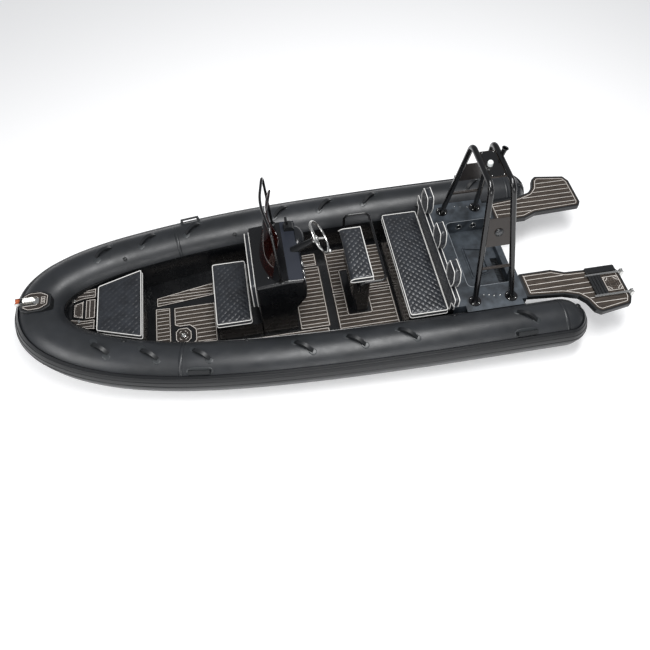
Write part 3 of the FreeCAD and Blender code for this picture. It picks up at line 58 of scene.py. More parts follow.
def addNode(tree, kind, settings=None, inputs=None):
    # one shader node with its settings, its numbers and its links
    node = tree.nodes.new("ShaderNode" + kind)
    for name, value in (settings or {}).items():
        setattr(node, name, value)
    for name, value in (inputs or {}).items():
        if isinstance(value, bpy.types.NodeSocket):
            tree.links.new(value, node.inputs[name])
        else:
            node.inputs[name].default_value = value
    return node


def addPattern(tree, feature, size, detail=0.0, stretch=(1.0, 1.0, 1.0)):
    # noise, or the named feature of Voronoi cells, in the object's own space: scale is one over the size
    coordinates = addNode(tree, "TexCoord")
    place = addNode(tree, "Mapping", None, {"Vector": coordinates.outputs["Object"], "Scale": stretch})
    inputs = {"Vector": place.outputs["Vector"], "Scale": 1.0 / size}
    if feature == "NOISE":
        return addNode(tree, "TexNoise", None, {**inputs, "Detail": detail}).outputs["Fac"]
    return addNode(tree, "TexVoronoi", {"feature": feature}, inputs).outputs["Distance"]


def makeMaterial(name, look, relief, strength, depth, tones=None, wear=None, creases=None):
    # look holds the surface's numbers and relief the pattern of its bump; tones are two colours and wear
    # two roughnesses, each with the noise that runs between them; creases add four times their own noise
    material = bpy.data.materials.new(name)
    material.use_nodes = True
    tree = material.node_tree
    surface = tree.nodes["Principled BSDF"]
    for socket, value in look.items():
        surface.inputs[socket].default_value = hexToLinear(value) if isinstance(value, str) else value
    if tones:
        dark, light, *noise = tones
        ramp = addNode(tree, "ValToRGB", None, {"Fac": addPattern(tree, "NOISE", *noise)})
        for stop, position, tone in zip(ramp.color_ramp.elements, (0.35, 0.65), (dark, light)):
            stop.position = position
            stop.color = hexToLinear(tone)
        tree.links.new(ramp.outputs["Color"], surface.inputs["Base Color"])
    if wear:
        low, high, *noise = wear
        spread = addNode(tree, "MapRange", None, {"Value": addPattern(tree, "NOISE", *noise), "From Min": 0.3,
                                                  "From Max": 0.7, "To Min": low, "To Max": high})
        tree.links.new(spread.outputs["Result"], surface.inputs["Roughness"])
    height = addPattern(tree, *relief)
    if creases:
        both = addNode(tree, "Math", {"operation": "MULTIPLY_ADD"},
                       {0: addPattern(tree, "NOISE", *creases), 1: 4.0, 2: height})
        height = both.outputs["Value"]
    bump = addNode(tree, "Bump", None, {"Height": height, "Strength": strength, "Distance": depth})
    tree.links.new(bump.outputs["Normal"], surface.inputs["Normal"])
    return material


def mouldedRubber(name, tone, rough):
    # extruded rubber: darker and duller than the cloth, with fine draw marks
    return makeMaterial(name, {"Base Color": tone, "Roughness": rough},
                        ("NOISE", 0.012, 6.0, (1.0, 1.0, 6.0)), 0.3, 0.0008)


def gelcoat(name, tone, rough, peel):
    # sprayed polyester gelcoat: glossy, with the slight orange peel of the mould
    return makeMaterial(name, {"Base Color": tone, "Coat Weight": 0.15, "Coat Roughness": 0.08},
                        ("NOISE", 0.05, 2.0), 0.2, peel, wear=(rough, rough + 0.12, 0.2, 5.0))


def foamSheet(name, dark, light):
    # closed-cell foam decking: matte, brushed along the boat
    return makeMaterial(name, {"Roughness": 0.86, "Specular IOR Level": 0.3},
                        ("NOISE", 0.035, 8.0, (1.0, 14.0, 1.0)), 0.45, 0.0012,
                        (dark, light, 0.09, 10.0, (1.0, 9.0, 1.0)))


def powderCoat(name, tone, rough):
    # polyester powder coat on metal: even, with a fine stipple
    look = {"Base Color": tone, "Roughness": rough, "Coat Weight": 0.25, "Coat Roughness": 0.1}
    return makeMaterial(name, look, ("NOISE", 0.004, 3.0), 0.25, 0.0004)


def polishedMetal(name, tone, rough):
    # marine stainless steel or chromed brass: bright, with polishing lines that catch the light
    drawn = (1.0, 30.0, 1.0)
    return makeMaterial(name, {"Base Color": tone, "Metallic": 1.0}, ("NOISE", 0.01, 4.0, drawn), 0.1,
                        0.0003, wear=(rough, rough + 0.14, 0.02, 5.0, drawn))


def mouldedPlastic(name, tone, rough):
    # injection-moulded or rotomoulded plastic: fine spark-eroded texture
    return makeMaterial(name, {"Base Color": tone, "Roughness": rough}, ("NOISE", 0.003, 4.0), 0.3, 0.0005)


def castLens(name, tone):
    # opal or tinted polycarbonate lens with light scattered inside it
    look = {"Base Color": tone, "Roughness": 0.2, "Subsurface Weight": 0.3,
            "Subsurface Radius": (0.01, 0.01, 0.01), "Coat Weight": 0.6}
    return makeMaterial(name, look, ("NOISE", 0.02, 2.0), 0.15, 0.0008)


finish = {
    # chloroprene-coated polyester cloth: satin, a faint weave, slow creases and dusty tone changes
    "collar": makeMaterial("coatedFabric", {"Specular IOR Level": 0.5}, ("F1", 0.003), 0.25, 0.0006,
                           ("#1d1f21", "#25272a", 0.35, 4.0), (0.33, 0.45, 0.12, 5.0), (0.09, 3.0)),
    "strake": mouldedRubber("mouldedRubber", "#0b0d10", 0.34),
    "patch": mouldedRubber("patchRubber", "#292c2e", 0.36),
    "strap": mouldedRubber("strapRubber", "#121416", 0.45),
    "hull": gelcoat("hullGelcoat", "#14171a", 0.14, 0.002),
    "liner": gelcoat("linerGelcoat", "#07080a", 0.2, 0.0025),
    "console": gelcoat("consoleGelcoat", "#08090b", 0.2, 0.002),
    # black gelcoat whose navy tint is a painted reflection: the blue of the sky on its gloss, put into its
    # colour
    "dash": gelcoat("dashGelcoatPaintedSkyReflection", "#0a1220", 0.42, 0.001),
    # grey deck gelcoat with a pebbled tread, scuffed paler where people stand
    "deck": makeMaterial("nonSkidGelcoat", {"Roughness": 0.46}, ("SMOOTH_F1", 0.007), 0.5, 0.0012,
                         ("#23282d", "#434a51", 0.12, 9.0)),
    "foam": foamSheet("foamDecking", "#2e2925", "#463e37"),
    # a darker copy of the same foam decking: painted shade, laid on the foredeck, the bow step and the pad
    # round the floor ring
    "foamPaintedShade": foamSheet("foamDeckingPaintedShade", "#26221f", "#38322e"),
    "line": foamSheet("foamLine", "#cfc8c0", "#ece7e1"),
    # marine vinyl on foam: leather grain of about 3 mm, low sheen
    "vinyl": makeMaterial("seatVinyl", {"Specular IOR Level": 0.55, "Sheen Weight": 0.15,
                                        "Sheen Roughness": 0.4}, ("DISTANCE_TO_EDGE", 0.0032), 0.35, 0.0008,
                          ("#17191d", "#23262b", 0.12, 4.0), (0.26, 0.4, 0.05, 5.0)),
    "piping": mouldedPlastic("pipingVinyl", "#dad9d6", 0.5),
    "coat": powderCoat("powderCoat", "#030304", 0.22),
    "plate": powderCoat("platePowderCoat", "#1c130c", 0.34),
    # cast acrylic sheet, smoked red-brown: half clear, polished, with the slow waves of the casting
    "acrylic": makeMaterial("smokedAcrylic", {"Base Color": "#2a0c08", "Roughness": 0.04, "IOR": 1.49,
                                              "Transmission Weight": 0.5}, ("NOISE", 0.12, 2.0), 0.08, 0.001),
    "steel": polishedMetal("stainlessSteel", "#cfcfcc", 0.14),
    "chrome": polishedMetal("chromedBrass", "#e2e2e0", 0.05),
    "plastic": mouldedPlastic("rotomouldedPlastic", "#131517", 0.46),
    "nylon": mouldedPlastic("mouldedNylon", "#0f1113", 0.4),
    "roller": mouldedRubber("castPolyurethane", "#a9542c", 0.45),
    "lens": castLens("opalLens", "#dfe3e2"),
    "lensDark": castLens("tintedLens", "#26282b"),
    "glass": mouldedPlastic("instrumentGlass", "#06090d", 0.06),
    "dial": mouldedPlastic("dialPrint", "#d5d8da", 0.4),
    "trim": mouldedPlastic("paleTrim", "#8d9297", 0.42),
    "cowl": mouldedPlastic("podPlastic", "#15171a", 0.2),
}
print("stage: materials", len(finish))

# the CAD nodes of each finish
nodeFinish = {
    "collar": "tube_port tube_starboard tube_bow",
    "strake": "rubbing_strake",
    "hull": "hull",
    "liner": "liner_port liner_starboard liner_bow cockpit_floor foredeck anchor_hatch_lid bow_locker "
             "bow_locker_lid console_seat_lid bench_base bench_lid",
    "console": "console console_seat_locker helm_seat_base",
    "deck": "transom stern_deck stern_hatch_lid",
    "vinyl": "bow_cushion console_seat_cushion console_backrest helm_seat_cushion bench_cushion "
             "bench_backrest back_bolsters",
    "coat": "windscreen_frame helm_seat_rail arch_front_hoop arch_rear_hoop",
    "plate": "arch_plates",
    "acrylic": "windscreen",
    "nylon": "steering_boss throttle",
    "steel": "steering_wheel swim_ladder ladder_hinge bow_roller_bracket",
    "lens": "arch_light",
    "plastic": "swim_platform_port swim_platform_starboard bow_step",
    "roller": "bow_roller",
    "strap": "grab_handles",
}
for key, names in nodeFinish.items():
    for nodeName in names.split():
        nodes[nodeName].data.materials.clear()
        nodes[nodeName].data.materials.append(finish[key])


# mesh tools: a part is a list of vertices and a list of faces, mostly a grid of points from whole arrays

def gridPiece(points, loopRows=False, loopColumns=False, caps=False):
    # quads between neighbouring rows and columns, wrapped round where it closes, and faces on open ends
    rows, columns = points.shape[:2]
    r, c = np.meshgrid(np.arange(rows if loopRows else rows - 1),
                       np.arange(columns if loopColumns else columns - 1), indexing="ij")
    nextR, nextC = (r + 1) % rows, (c + 1) % columns
    quads = np.stack([r * columns + c, r * columns + nextC, nextR * columns + nextC,
                      nextR * columns + c], axis=-1)
    faces = quads.reshape(-1, 4).tolist()
    if caps:
        faces.append(list(range(columns))[::-1])
        faces.append(list(range((rows - 1) * columns, rows * columns)))
    return points.reshape(-1, 3), faces


def joinParts(parts):
    # faces keep their vertices: each part's numbers go up by the count before it
    vertices, faces, start = [], [], 0
    for partVertices, partFaces in parts:
        vertices.append(np.asarray(partVertices, float))
        faces += [[v + start for v in face] for face in partFaces]
        start += len(partVertices)
    return np.concatenate(vertices), faces


# bevels round an edge in three steps, where its faces meet at more than this angle
bevelSegments, bevelAngle = 3, math.radians(38)


def putMesh(name, parts, key, body="boat", bevel=None):
    # a part, or a list of parts, as a piece that rides on a body: smooth, or flat-faced where a bevel is
    # given, and its edges are then bevelled by that much
    vertices, faces = joinParts(parts) if isinstance(parts, list) else parts
    mesh = bpy.data.meshes.new(name)
    mesh.from_pydata([tuple(v) for v in np.asarray(vertices, float)], [], faces)
    cleaner = bmesh.new()
    cleaner.from_mesh(mesh)
    bmesh.ops.recalc_face_normals(cleaner, faces=cleaner.faces)
    cleaner.to_mesh(mesh)
    cleaner.free()
    mesh.polygons.foreach_set("use_smooth", np.full(len(mesh.polygons), bevel is None))
    mesh.materials.append(finish[key])
    piece = bpy.data.objects.new(name, mesh)
    scene.collection.objects.link(piece)
    if bevel:
        edge = piece.modifiers.new("bevel", "BEVEL")
        edge.width = bevel
        edge.segments = bevelSegments
        edge.limit_method = "ANGLE"
        edge.angle_limit = bevelAngle
    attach(piece, body)
    return piece


def tubeAlong(path, radius, sides=14, closed=False):
    # a circle carried along a path: the frame turns with the path and never twists about it
    path = np.asarray(path, float)
    tangent = np.roll(path, -1, 0) - np.roll(path, 1, 0) if closed else np.gradient(path, axis=0)
    tangent /= np.linalg.norm(tangent, axis=1)[:, None]
    guide = np.array([0.0, 0.0, 1.0]) if abs(tangent[0, 2]) < 0.9 else np.array([1.0, 0.0, 0.0])
    sideways = [np.cross(tangent[0], guide)]
    for t in tangent[1:]:
        last = sideways[-1]
        sideways.append(last - t * np.dot(last, t))
    sideways = np.array(sideways)
    sideways /= np.linalg.norm(sideways, axis=1)[:, None]
    upward = np.cross(sideways, tangent)
    turn = np.linspace(0, 2 * np.pi, sides, endpoint=False)[None, :, None]
    ring = sideways[:, None] * np.cos(turn) + upward[:, None] * np.sin(turn)
    return gridPiece(path[:, None] + ring * radius, closed, True, not closed)


def loopAt(centre, radii, thickness, count):
    # a level wire ring: an ellipse of two radii about a centre
    turn = np.linspace(0, 2 * np.pi, count, endpoint=False)
    path = np.column_stack([radii[0] * np.cos(turn), radii[1] * np.sin(turn), np.zeros(count)])
    return tubeAlong(np.asarray(centre) + path, thickness, 8, closed=True)


def roundedRoute(corners, radius, steps=7, closed=False):
    # straight runs whose corners are rounded by quadratic curves, over at most 0.45 of a side
    corners = [np.asarray(c, float) for c in corners]
    share = np.linspace(0, 1, steps)[:, None]
    pieces = []
    for k, here in enumerate(corners):
        if not closed and k in (0, len(corners) - 1):
            pieces.append(here[None])
            continue
        ends = []
        for other in (corners[k - 1], corners[(k + 1) % len(corners)]):
            away = np.linalg.norm(other - here)
            ends.append(here + (other - here) / away * min(radius, away * 0.45))
        pieces.append((1 - share) ** 2 * ends[0] + 2 * share * (1 - share) * here + share ** 2 * ends[1])
    return np.concatenate(pieces)


def rectangle(low, high):
    # corners of a level rectangle between two opposite ones
    return [(low[0], low[1]), (high[0], low[1]), (high[0], high[1]), (low[0], high[1])]


def roundedBox(low, high, corner, steps=6):
    # the same with rounded corners
    return roundedRoute(rectangle(low, high), corner, steps, closed=True)


def lathe(profile, centre, axis, sides=32, closed=False):
    # a profile of (radius, height) pairs turned about an axis; a closed profile makes a ring
    axis = np.asarray(axis, float) / np.linalg.norm(axis)
    guide = np.array([1.0, 0, 0]) if abs(axis[0]) < 0.9 else np.array([0, 1.0, 0])
    across = np.cross(axis, guide)
    across /= np.linalg.norm(across)
    turn = np.linspace(0, 2 * np.pi, sides, endpoint=False)[:, None]
    ring = across * np.cos(turn) + np.cross(axis, across) * np.sin(turn)
    profile = np.asarray(profile, float)[:, :, None, None]
    return gridPiece(np.asarray(centre, float) + profile[:, 0] * ring + profile[:, 1] * axis,
                     closed, True, not closed)


def atLevel(outline, level):
    # a flat outline given its height
    return np.column_stack([outline, np.full(len(outline), level)])


def slabFrom(outline, low, high):
    # a flat outline raised between two levels
    count = len(outline)
    faces = [list(range(count))[::-1], list(range(count, 2 * count))]
    faces += [[k, (k + 1) % count, (k + 1) % count + count, k + count] for k in range(count)]
    return np.concatenate([atLevel(outline, low), atLevel(outline, high)]), faces


def box(low, high):
    # a block between two opposite corners
    low, high = np.asarray(low, float), np.asarray(high, float)
    pick = np.array([[0, 0, 0], [1, 0, 0], [1, 1, 0], [0, 1, 0], [0, 0, 1], [1, 0, 1], [1, 1, 1], [0, 1, 1]])
    faces = [[0, 3, 2, 1], [4, 5, 6, 7], [0, 1, 5, 4], [1, 2, 6, 5], [2, 3, 7, 6], [3, 0, 4, 7]]
    return low + (high - low) * pick, faces


def movedIn(outline, inset):
    # each side of an outline moved inwards and met with its neighbours; a sharp corner moves at most four
    # times the inset
    outline = np.asarray(outline, float)
    area = np.sum(outline[:, 0] * np.roll(outline[:, 1], -1) - np.roll(outline[:, 0], -1) * outline[:, 1])
    sides = np.roll(outline, -1, 0) - outline
    length = np.linalg.norm(sides, axis=1)[:, None]
    normal = np.column_stack([-sides[:, 1], sides[:, 0]]) / length * (1 if area > 0 else -1)
    middle = normal + np.roll(normal, 1, 0)
    middle /= np.maximum((middle * normal).sum(1), 0.25)[:, None]
    return outline + middle * inset


def ribbonRound(outline, width, low, high):
    # a flat ring between an outline and the same moved in by the ribbon's width
    inner = movedIn(outline, width)
    rings = [atLevel(ring, level)
             for ring, level in ((outline, low), (outline, high), (inner, high), (inner, low))]
    return gridPiece(np.stack(rings), True, True)


def bakeModifiers(piece):
    # the mesh that the modifiers give takes the place of the one before
    bpy.context.view_layer.update()
    graph = bpy.context.evaluated_depsgraph_get()
    baked = bpy.data.meshes.new_from_object(piece.evaluated_get(graph))
    piece.modifiers.clear()
    piece.data = baked


def verticesOf(piece, value="co"):
    # each vertex's place, or its normal
    values = np.empty(len(piece.data.vertices) * 3)
    piece.data.vertices.foreach_get(value, values)
    return values.reshape(-1, 3)


def setPoints(piece, points):
    # a new place for each vertex
    piece.data.vertices.foreach_set("co", np.ascontiguousarray(points).ravel())
    piece.data.update()


# the collar's line, for what lies on it
collar = {"start": -0.677, "length": 5.965, "fullness": 4.0, "roundness": 2.2, "halfBeam": 0.99,
          "height": 0.315, "riseFrom": 3.686, "rise": 0.12, "radius": 0.26, "domeX": -0.33,
          "bowFrom": 4.3, "wallIn": 0.268}
collar["nose"] = collar["start"] + collar["length"]


def halfBreadth(x):
    # superellipse: the share of length used up and the share of breadth add to one
    share = np.clip((np.asarray(x, float) - collar["start"]) / collar["length"], 0, 1)
    return collar["halfBeam"] * (1 - share ** collar["fullness"]) ** (1 / collar["roundness"])


def sheerHeight(x):
    # level, then a parabola up to the nose
    share = np.clip((np.asarray(x, float) - collar["riseFrom"]) / (collar["nose"] - collar["riseFrom"]), 0, 1)
    return collar["height"] + collar["rise"] * share ** 2


bowTurn = np.sin(np.linspace(0, np.pi / 2, 160))
lineX = np.concatenate([np.linspace(collar["domeX"], collar["bowFrom"], 240)[:-1],
                        collar["bowFrom"] + (collar["nose"] - collar["bowFrom"]) * bowTurn])
line = np.column_stack([lineX, halfBreadth(lineX), sheerHeight(lineX)])
lineHeading = np.gradient(line, axis=0)
lineHeading[:, 2] = 0
lineHeading /= np.linalg.norm(lineHeading, axis=1)[:, None]
lineOut = np.column_stack([-lineHeading[:, 1], lineHeading[:, 0], np.zeros(len(line))])
innerWall = line - lineOut * collar["wallIn"]


def onCollar(x, angle, radius):
    # a point round the collar at a station: angle in degrees from vertical, outboard positive
    k = np.interp(x, lineX, np.arange(len(lineX)))
    low = np.clip(np.floor(k).astype(int), 0, len(lineX) - 2)
    part = (k - low)[..., None]
    spot = line[low] * (1 - part) + line[low + 1] * part
    out = lineOut[low] * (1 - part) + lineOut[low + 1] * part
    turn = np.radians(angle)
    return spot + radius * (out * np.sin(turn)[..., None] + np.array([0, 0, 1.0]) * np.cos(turn)[..., None])


def wrapped(x, angle, forward, around, lift, side):
    # a grid laid on the collar about a spot: around is an arc length, so its angle is arc over radius
    spots = onCollar((x + forward).ravel(), np.degrees(around / collar["radius"]).ravel() + angle,
                     (collar["radius"] + lift).ravel()[:, None])
    return spots.reshape(*forward.shape, 3) * [1, side, 1]


# cushions

def edgeDistance(points, outline):
    # least distance from each point to the sides of a closed outline
    side = np.roll(outline, -1, 0) - outline
    reach = points[:, None] - outline[None]
    share = np.clip((reach * side).sum(-1) / (side ** 2).sum(-1), 0, 1)
    return np.linalg.norm(reach - share[..., None] * side, axis=-1).min(1)


def padRows(outline, thickness, edge):
    # a closed pad over its outline: pulled-in foot, straight side, rounded shoulder
    rows = [(edge * 0.55, 0.0), (edge * 0.15, edge * 0.3), (0.0, edge), (0.0, thickness - edge),
            (edge * 0.3, thickness - edge * 0.3), (edge, thickness)]
    return np.stack([atLevel(movedIn(outline, inset), level) for inset, level in rows])


# the cover as cloth: its mass, how hard it is to stretch, and the pressure of the foam
coverCloth = {"quality": 4, "mass": 0.3, "tension_stiffness": 12.0, "compression_stiffness": 12.0,
              "use_pressure": True, "uniform_pressure_force": 4.0}
clothSteps = 20


def fillWithFoam(piece, voxel, swell):
    # the cover is remeshed evenly, blown out by cloth pressure and held to a real swelling
    even = piece.modifiers.new("even", "REMESH")
    even.mode = "VOXEL"
    even.voxel_size = voxel
    bakeModifiers(piece)
    rest = verticesOf(piece)
    cloth = piece.modifiers.new("cloth", "CLOTH")
    for name, value in coverCloth.items():
        setattr(cloth.settings, name, value)
    cloth.settings.effector_weights.gravity = 0.0
    cloth.collision_settings.use_collision = False
    for step in range(1, clothSteps + 1):
        scene.frame_set(step)
    bakeModifiers(piece)
    scene.frame_set(1)
    moved = verticesOf(piece) - rest
    reach = np.maximum(np.linalg.norm(moved, axis=1), 1e-9)
    setPoints(piece, rest + moved * np.minimum(1, swell / reach)[:, None])
    finer = piece.modifiers.new("finer", "SUBSURF")
    finer.levels = finer.render_levels = 1
    bakeModifiers(piece)


# the diamonds' pitch, the cover's play, the crown of the foam, the pad's rounded edge and how narrow the
# stitched lines are; pairs say where an effect starts and over how much it grows to full: with a normal's
# upward part, and with the distance from the pad's rim
quilt = {"pitch": 0.074, "shrink": 0.006, "crown": 0.004, "edge": 0.014, "stitch": 0.4,
         "facing": (0.55, 0.3), "rim": (0.012, 0.02)}


def growing(value, start, span):
    # nothing up to the start, then straight up to one over the span
    return np.clip((value - start) / span, 0, 1)


def quiltFace(points, facing, slim, cushion):
    # the face rises in a crown and sinks to its stitched lines: products of two sines of the diagonals
    spot = points[:, :2]
    middle = slim.mean(0)
    crown = np.clip(1 - ((spot - middle) / np.abs(slim - middle).max(0)) ** 2, 0, 1).prod(1) ** 0.5
    faceUp = growing(facing, *quilt["facing"])
    fade = growing(edgeDistance(spot, slim), *quilt["rim"])
    first = np.sin(np.pi * (spot[:, 0] + spot[:, 1]) / quilt["pitch"])
    second = np.sin(np.pi * (spot[:, 0] - spot[:, 1]) / quilt["pitch"])
    sunk = 1 - np.abs(first * second) ** quilt["stitch"]
    points[:, 2] += faceUp * crown * quilt["crown"]
    points[:, 2] -= faceUp * fade * sunk * cushion["depth"]
    points[:, 2] = np.clip(points[:, 2], 0.0, cushion["thickness"] + 0.004)
    return points


def rolledFront(points, fore, roll, thickness):
    # the pad's front narrows to a half round: its height about the middle follows a circle
    share = np.clip((points[:, 0] - (fore - roll)) / roll, 0, 0.995)
    points[:, 2] = thickness / 2 + (points[:, 2] - thickness / 2) * np.sqrt(1 - share ** 2)
    return points


def rolledCord(ring, roll, level, thickness):
    # a cord that runs round the back of a pad and stops on the circle of its rolled front
    fore = ring[:, 0].max()
    kept = ring[ring[:, 0] < fore - 0.03]
    gaps = np.linalg.norm(np.diff(kept, axis=0), axis=1) * (np.diff(kept[:, 0]) ** 2 < 1e-9)
    split = int(np.argmax(gaps * (kept[:-1, 0] > kept[:, 0].mean())))
    kept = np.roll(kept, -(split + 1), 0)
    turn = np.linspace(0, np.pi / 2, 12)[1:]
    wrap = np.column_stack([fore - roll + roll * np.sin(turn), np.zeros(len(turn)),
                            thickness / 2 + (level - thickness / 2) * np.cos(turn)])
    return np.concatenate([(wrap + [0, kept[0, 1], 0])[::-1], kept, wrap + [0, kept[-1, 1], 0]])


def soften(name, cushion):
    # one pad in its own flat frame, quilted on its face, then set in place on the boat
    outline = roundedRoute(cushion["outline"], cushion["corner"], 6, closed=True)
    slim = movedIn(outline, quilt["shrink"])
    thickness, roll = cushion["thickness"], cushion["roll"]
    part = gridPiece(padRows(slim, thickness - quilt["shrink"], quilt["edge"]), False, True, True)
    piece = putMesh(name, part, "vinyl", cushion["body"])
    fillWithFoam(piece, cushion["voxel"], quilt["shrink"])
    points = quiltFace(verticesOf(piece), verticesOf(piece, "normal")[:, 2], slim, cushion)
    if roll:
        points = rolledFront(points, outline[:, 0].max(), roll, thickness)
    setPoints(piece, points)
    cords = []
    for lift, radius in cushion["cords"]:
        # a cord sewn round the pad, at a share of its thickness
        inset = quilt["shrink"] * 0.6 + (0.006 if lift > 0.5 else 0.0)
        ring = atLevel(movedIn(outline, inset), thickness * lift)
        if roll:
            ring = rolledCord(ring, roll, thickness * lift, thickness)
        cords.append(tubeAlong(ring, radius, 8, closed=not roll))
    piping = putMesh(name + "_piping", cords, "piping", cushion["body"])
    for each in (piece, piping):
        setPoints(each, np.asarray(cushion["origin"]) + verticesOf(each) @ cushion["axes"])
    piece.data.polygons.foreach_set("use_smooth", np.full(len(piece.data.polygons), True))
    return piece


flat = np.array([(1, 0, 0), (0, 1, 0), (0, 0, 1)], float)
upright = np.array([(0, 0, 1), (0, -1, 0), (1, 0, 0)], float)
cushionUsual = {"body": "boat", "axes": flat, "thickness": 0.062, "voxel": 0.009, "depth": 0.007,
                "corner": 0.035, "roll": 0.0, "cords": ((0.93, 0.005), (0.1, 0.0045))}
backCords = ((0.93, 0.005), (0.1, 0.005))


def trapezoid(aft, fore, aftHalf, foreHalf):
    # an outline even about the centreline
    return [(aft, -aftHalf), (fore, -foreHalf), (fore, foreHalf), (aft, aftHalf)]


def winged(low, shoulder, high, half, wingHalf):
    # a backrest seen from ahead, wider above the collar
    return [(low, -half), (shoulder, -half), (shoulder, -wingHalf), (high, -wingHalf),
            (high, wingHalf), (shoulder, wingHalf), (shoulder, half), (low, half)]


cushions = {
    "bow_cushion": {"body": "bow_locker_top", "outline": trapezoid(0.002, 0.495, 0.462, 0.302),
                    "origin": (4.215, 0, 0.3835), "corner": 0.03},
    "console_seat_cushion": {"body": "console_seat_top", "origin": (3.025, 0, 0.3335),
                             "outline": trapezoid(0.002, 0.398, 0.428, 0.428)},
    "console_backrest": {"outline": trapezoid(0.0, 0.4, 0.38, 0.38), "axes": upright,
                         "origin": (2.9305, 0, 0.545), "thickness": 0.055, "cords": backCords},
    "helm_seat_cushion": {"outline": trapezoid(0.002, 0.266, 0.368, 0.368), "origin": (1.662, 0, 0.7365),
                          "thickness": 0.063, "voxel": 0.008, "roll": 0.06, "corner": 0.012},
    "bench_cushion": {"body": "bench_top", "outline": trapezoid(0.002, 0.433, 0.74, 0.74),
                      "origin": (0.895, 0, 0.4485), "voxel": 0.01},
    "bench_backrest": {"outline": winged(0.002, 0.172, 0.318, 0.71, 0.785), "axes": upright,
                       "origin": (0.8255, 0, 0.43), "thickness": 0.055, "voxel": 0.01, "cords": backCords},
}
bolster = {"axes": upright, "thickness": 0.078, "voxel": 0.008, "depth": 0.006, "corner": 0.03,
           "cords": ((0.93, 0.0045), (0.07, 0.0045)),
           "outline": [(0.002, -0.092), (0.14, -0.13), (0.278, -0.092), (0.278, 0.092), (0.14, 0.13),
                       (0.002, 0.092)]}
for name, cushion in cushions.items():
    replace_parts(soften(name + "_soft", {**cushionUsual, **cushion}), name)
bolsters = [soften("back_bolster_soft_%d" % k, {**cushionUsual, **bolster, "origin": (0.814, y, 0.75)})
            for k, y in enumerate((-0.53, 0.0, 0.53))]
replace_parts(bolsters[0], "back_bolsters")
print("stage: cushions")


# foam decking with pale lines

def crossings(outline, level, axis):
    # where a straight line at a level crosses an outline's sides, in pairs
    other = 1 - axis
    start, end = outline, np.roll(outline, -1, 0)
    meets = (start[:, axis] > level) != (end[:, axis] > level)
    share = (level - start[meets, axis]) / (end[meets, axis] - start[meets, axis])
    return np.sort(start[meets, other] + share * (end[meets, other] - start[meets, other]))


# the glue's gap under a sheet, its bevel, how deep and how proud the pale lines lie, the planks' distance
# from the last border and the shortest plank line
decking = {"gap": 0.0003, "bevel": 0.0015, "sunk": 0.0008, "proud": 0.0007, "margin": 0.012, "least": 0.03}


def deckPanel(name, outline, level, borders, sheet=0.006, pitch=0.055, axis=1, body="boat", corner=0.012,
              width=0.005, key="foam", planks=True, offset=0.0):
    # a foam sheet with routed pale lines: borders follow its edge, planks stay inside the last border
    outline = roundedRoute(outline, corner, 5, closed=True)
    top = level + sheet
    putMesh(name, slabFrom(outline, level + decking["gap"], top), key, body, bevel=decking["bevel"])
    low, high = top - decking["sunk"], top + decking["proud"]
    parts = [ribbonRound(movedIn(outline, inset), width, low, high) for inset in borders]
    if planks:
        field = movedIn(outline, borders[-1] + decking["margin"])
        first = math.ceil((field[:, axis].min() - offset) / pitch)
        last = math.floor((field[:, axis].max() - offset) / pitch)
        for centre in np.arange(first, last + 1) * pitch + offset:
            ends = crossings(field, centre, axis)
            for a, b in zip(ends[::2], ends[1::2]):
                if b - a < decking["least"]:
                    continue
                near, far = (a, centre - width / 2), (b, centre + width / 2)
                if axis == 0:
                    near, far = near[::-1], far[::-1]
                parts.append(box((*near, low), (*far, high)))
    putMesh(name + "_lines", parts, "line", body, bevel=0.0)


def sideEdge(aft, fore, margin=0.05):
    # the inner wall's line between two stations, a margin inboard
    stations = np.linspace(aft, fore, 14)
    return np.column_stack([stations, np.interp(stations, innerWall[:, 0], innerWall[:, 1]) - margin])


bothSides = ((1, "port"), (-1, "starboard"))
floorTop = 0.060


def layFloorPads():
    # bow sole: two side panels, a short one aft of the locker, a long one with a cut corner round its ring
    deckPanel("sole_bow_side", [(4.13, -0.29), (4.13, -0.165), (3.45, -0.235), (3.45, -0.415)], floorTop,
              (0.006,), pitch=0.043)
    deckPanel("sole_bow_port", [(3.98, 0.44), (3.98, 0.58), (3.45, 0.62), (3.45, 0.48)], floorTop, (0.006,),
              pitch=0.043)
    deckPanel("sole_bow_short", [(3.975, -0.13), (4.15, -0.14), (4.15, 0.4), (3.975, 0.4)], floorTop,
              (0.008,), pitch=0.05)
    deckPanel("sole_bow_long", [(3.45, -0.12), (3.935, -0.12), (3.935, 0.13), (3.88, 0.155), (3.76, 0.155),
                                (3.7, 0.22), (3.7, 0.36), (3.75, 0.4), (3.45, 0.42)], floorTop, (0.008,))
    # the pad round the floor ring is in the darker foam of painted shade
    deckPanel("sole_bow_ring", [(3.925, 0.225), (3.89, 0.18), (3.79, 0.18), (3.745, 0.235), (3.745, 0.33),
                                (3.79, 0.375), (3.89, 0.375), (3.925, 0.33)],
              floorTop, (0.004, 0.05), corner=0.01, planks=False, key="foamPaintedShade")
    # side decks past the console, the helm sole up to its knee recess, and pads round the helm seat's foot
    consoleFore, consoleAft, consoleHalf = 3.43, 2.17, 0.452
    for side, name in bothSides:
        outline = np.concatenate([[(consoleFore, consoleHalf), (consoleAft, consoleHalf)],
                                  sideEdge(consoleAft, consoleFore)]) * [1, side]
        deckPanel("sole_" + name, outline, floorTop, (0.01,), corner=0.015, offset=0.01)
    deckPanel("sole_helm", rectangle((2.15, -0.44), (2.5, 0.44)), floorTop, (0.01,), corner=0.015)
    padFore, padAft, footFore, footAft, footHalf, gap = 2.055, 1.35, 1.91, 1.65, 0.32, 0.004
    for side, name in bothSides:
        outline = np.concatenate([[(padFore, gap), (footFore, gap), (footFore, footHalf), (footAft, footHalf),
                                   (footAft, gap), (padAft, gap)], sideEdge(padAft, padFore)]) * [1, side]
        deckPanel("sole_aft_" + name, outline, floorTop, (0.01,))


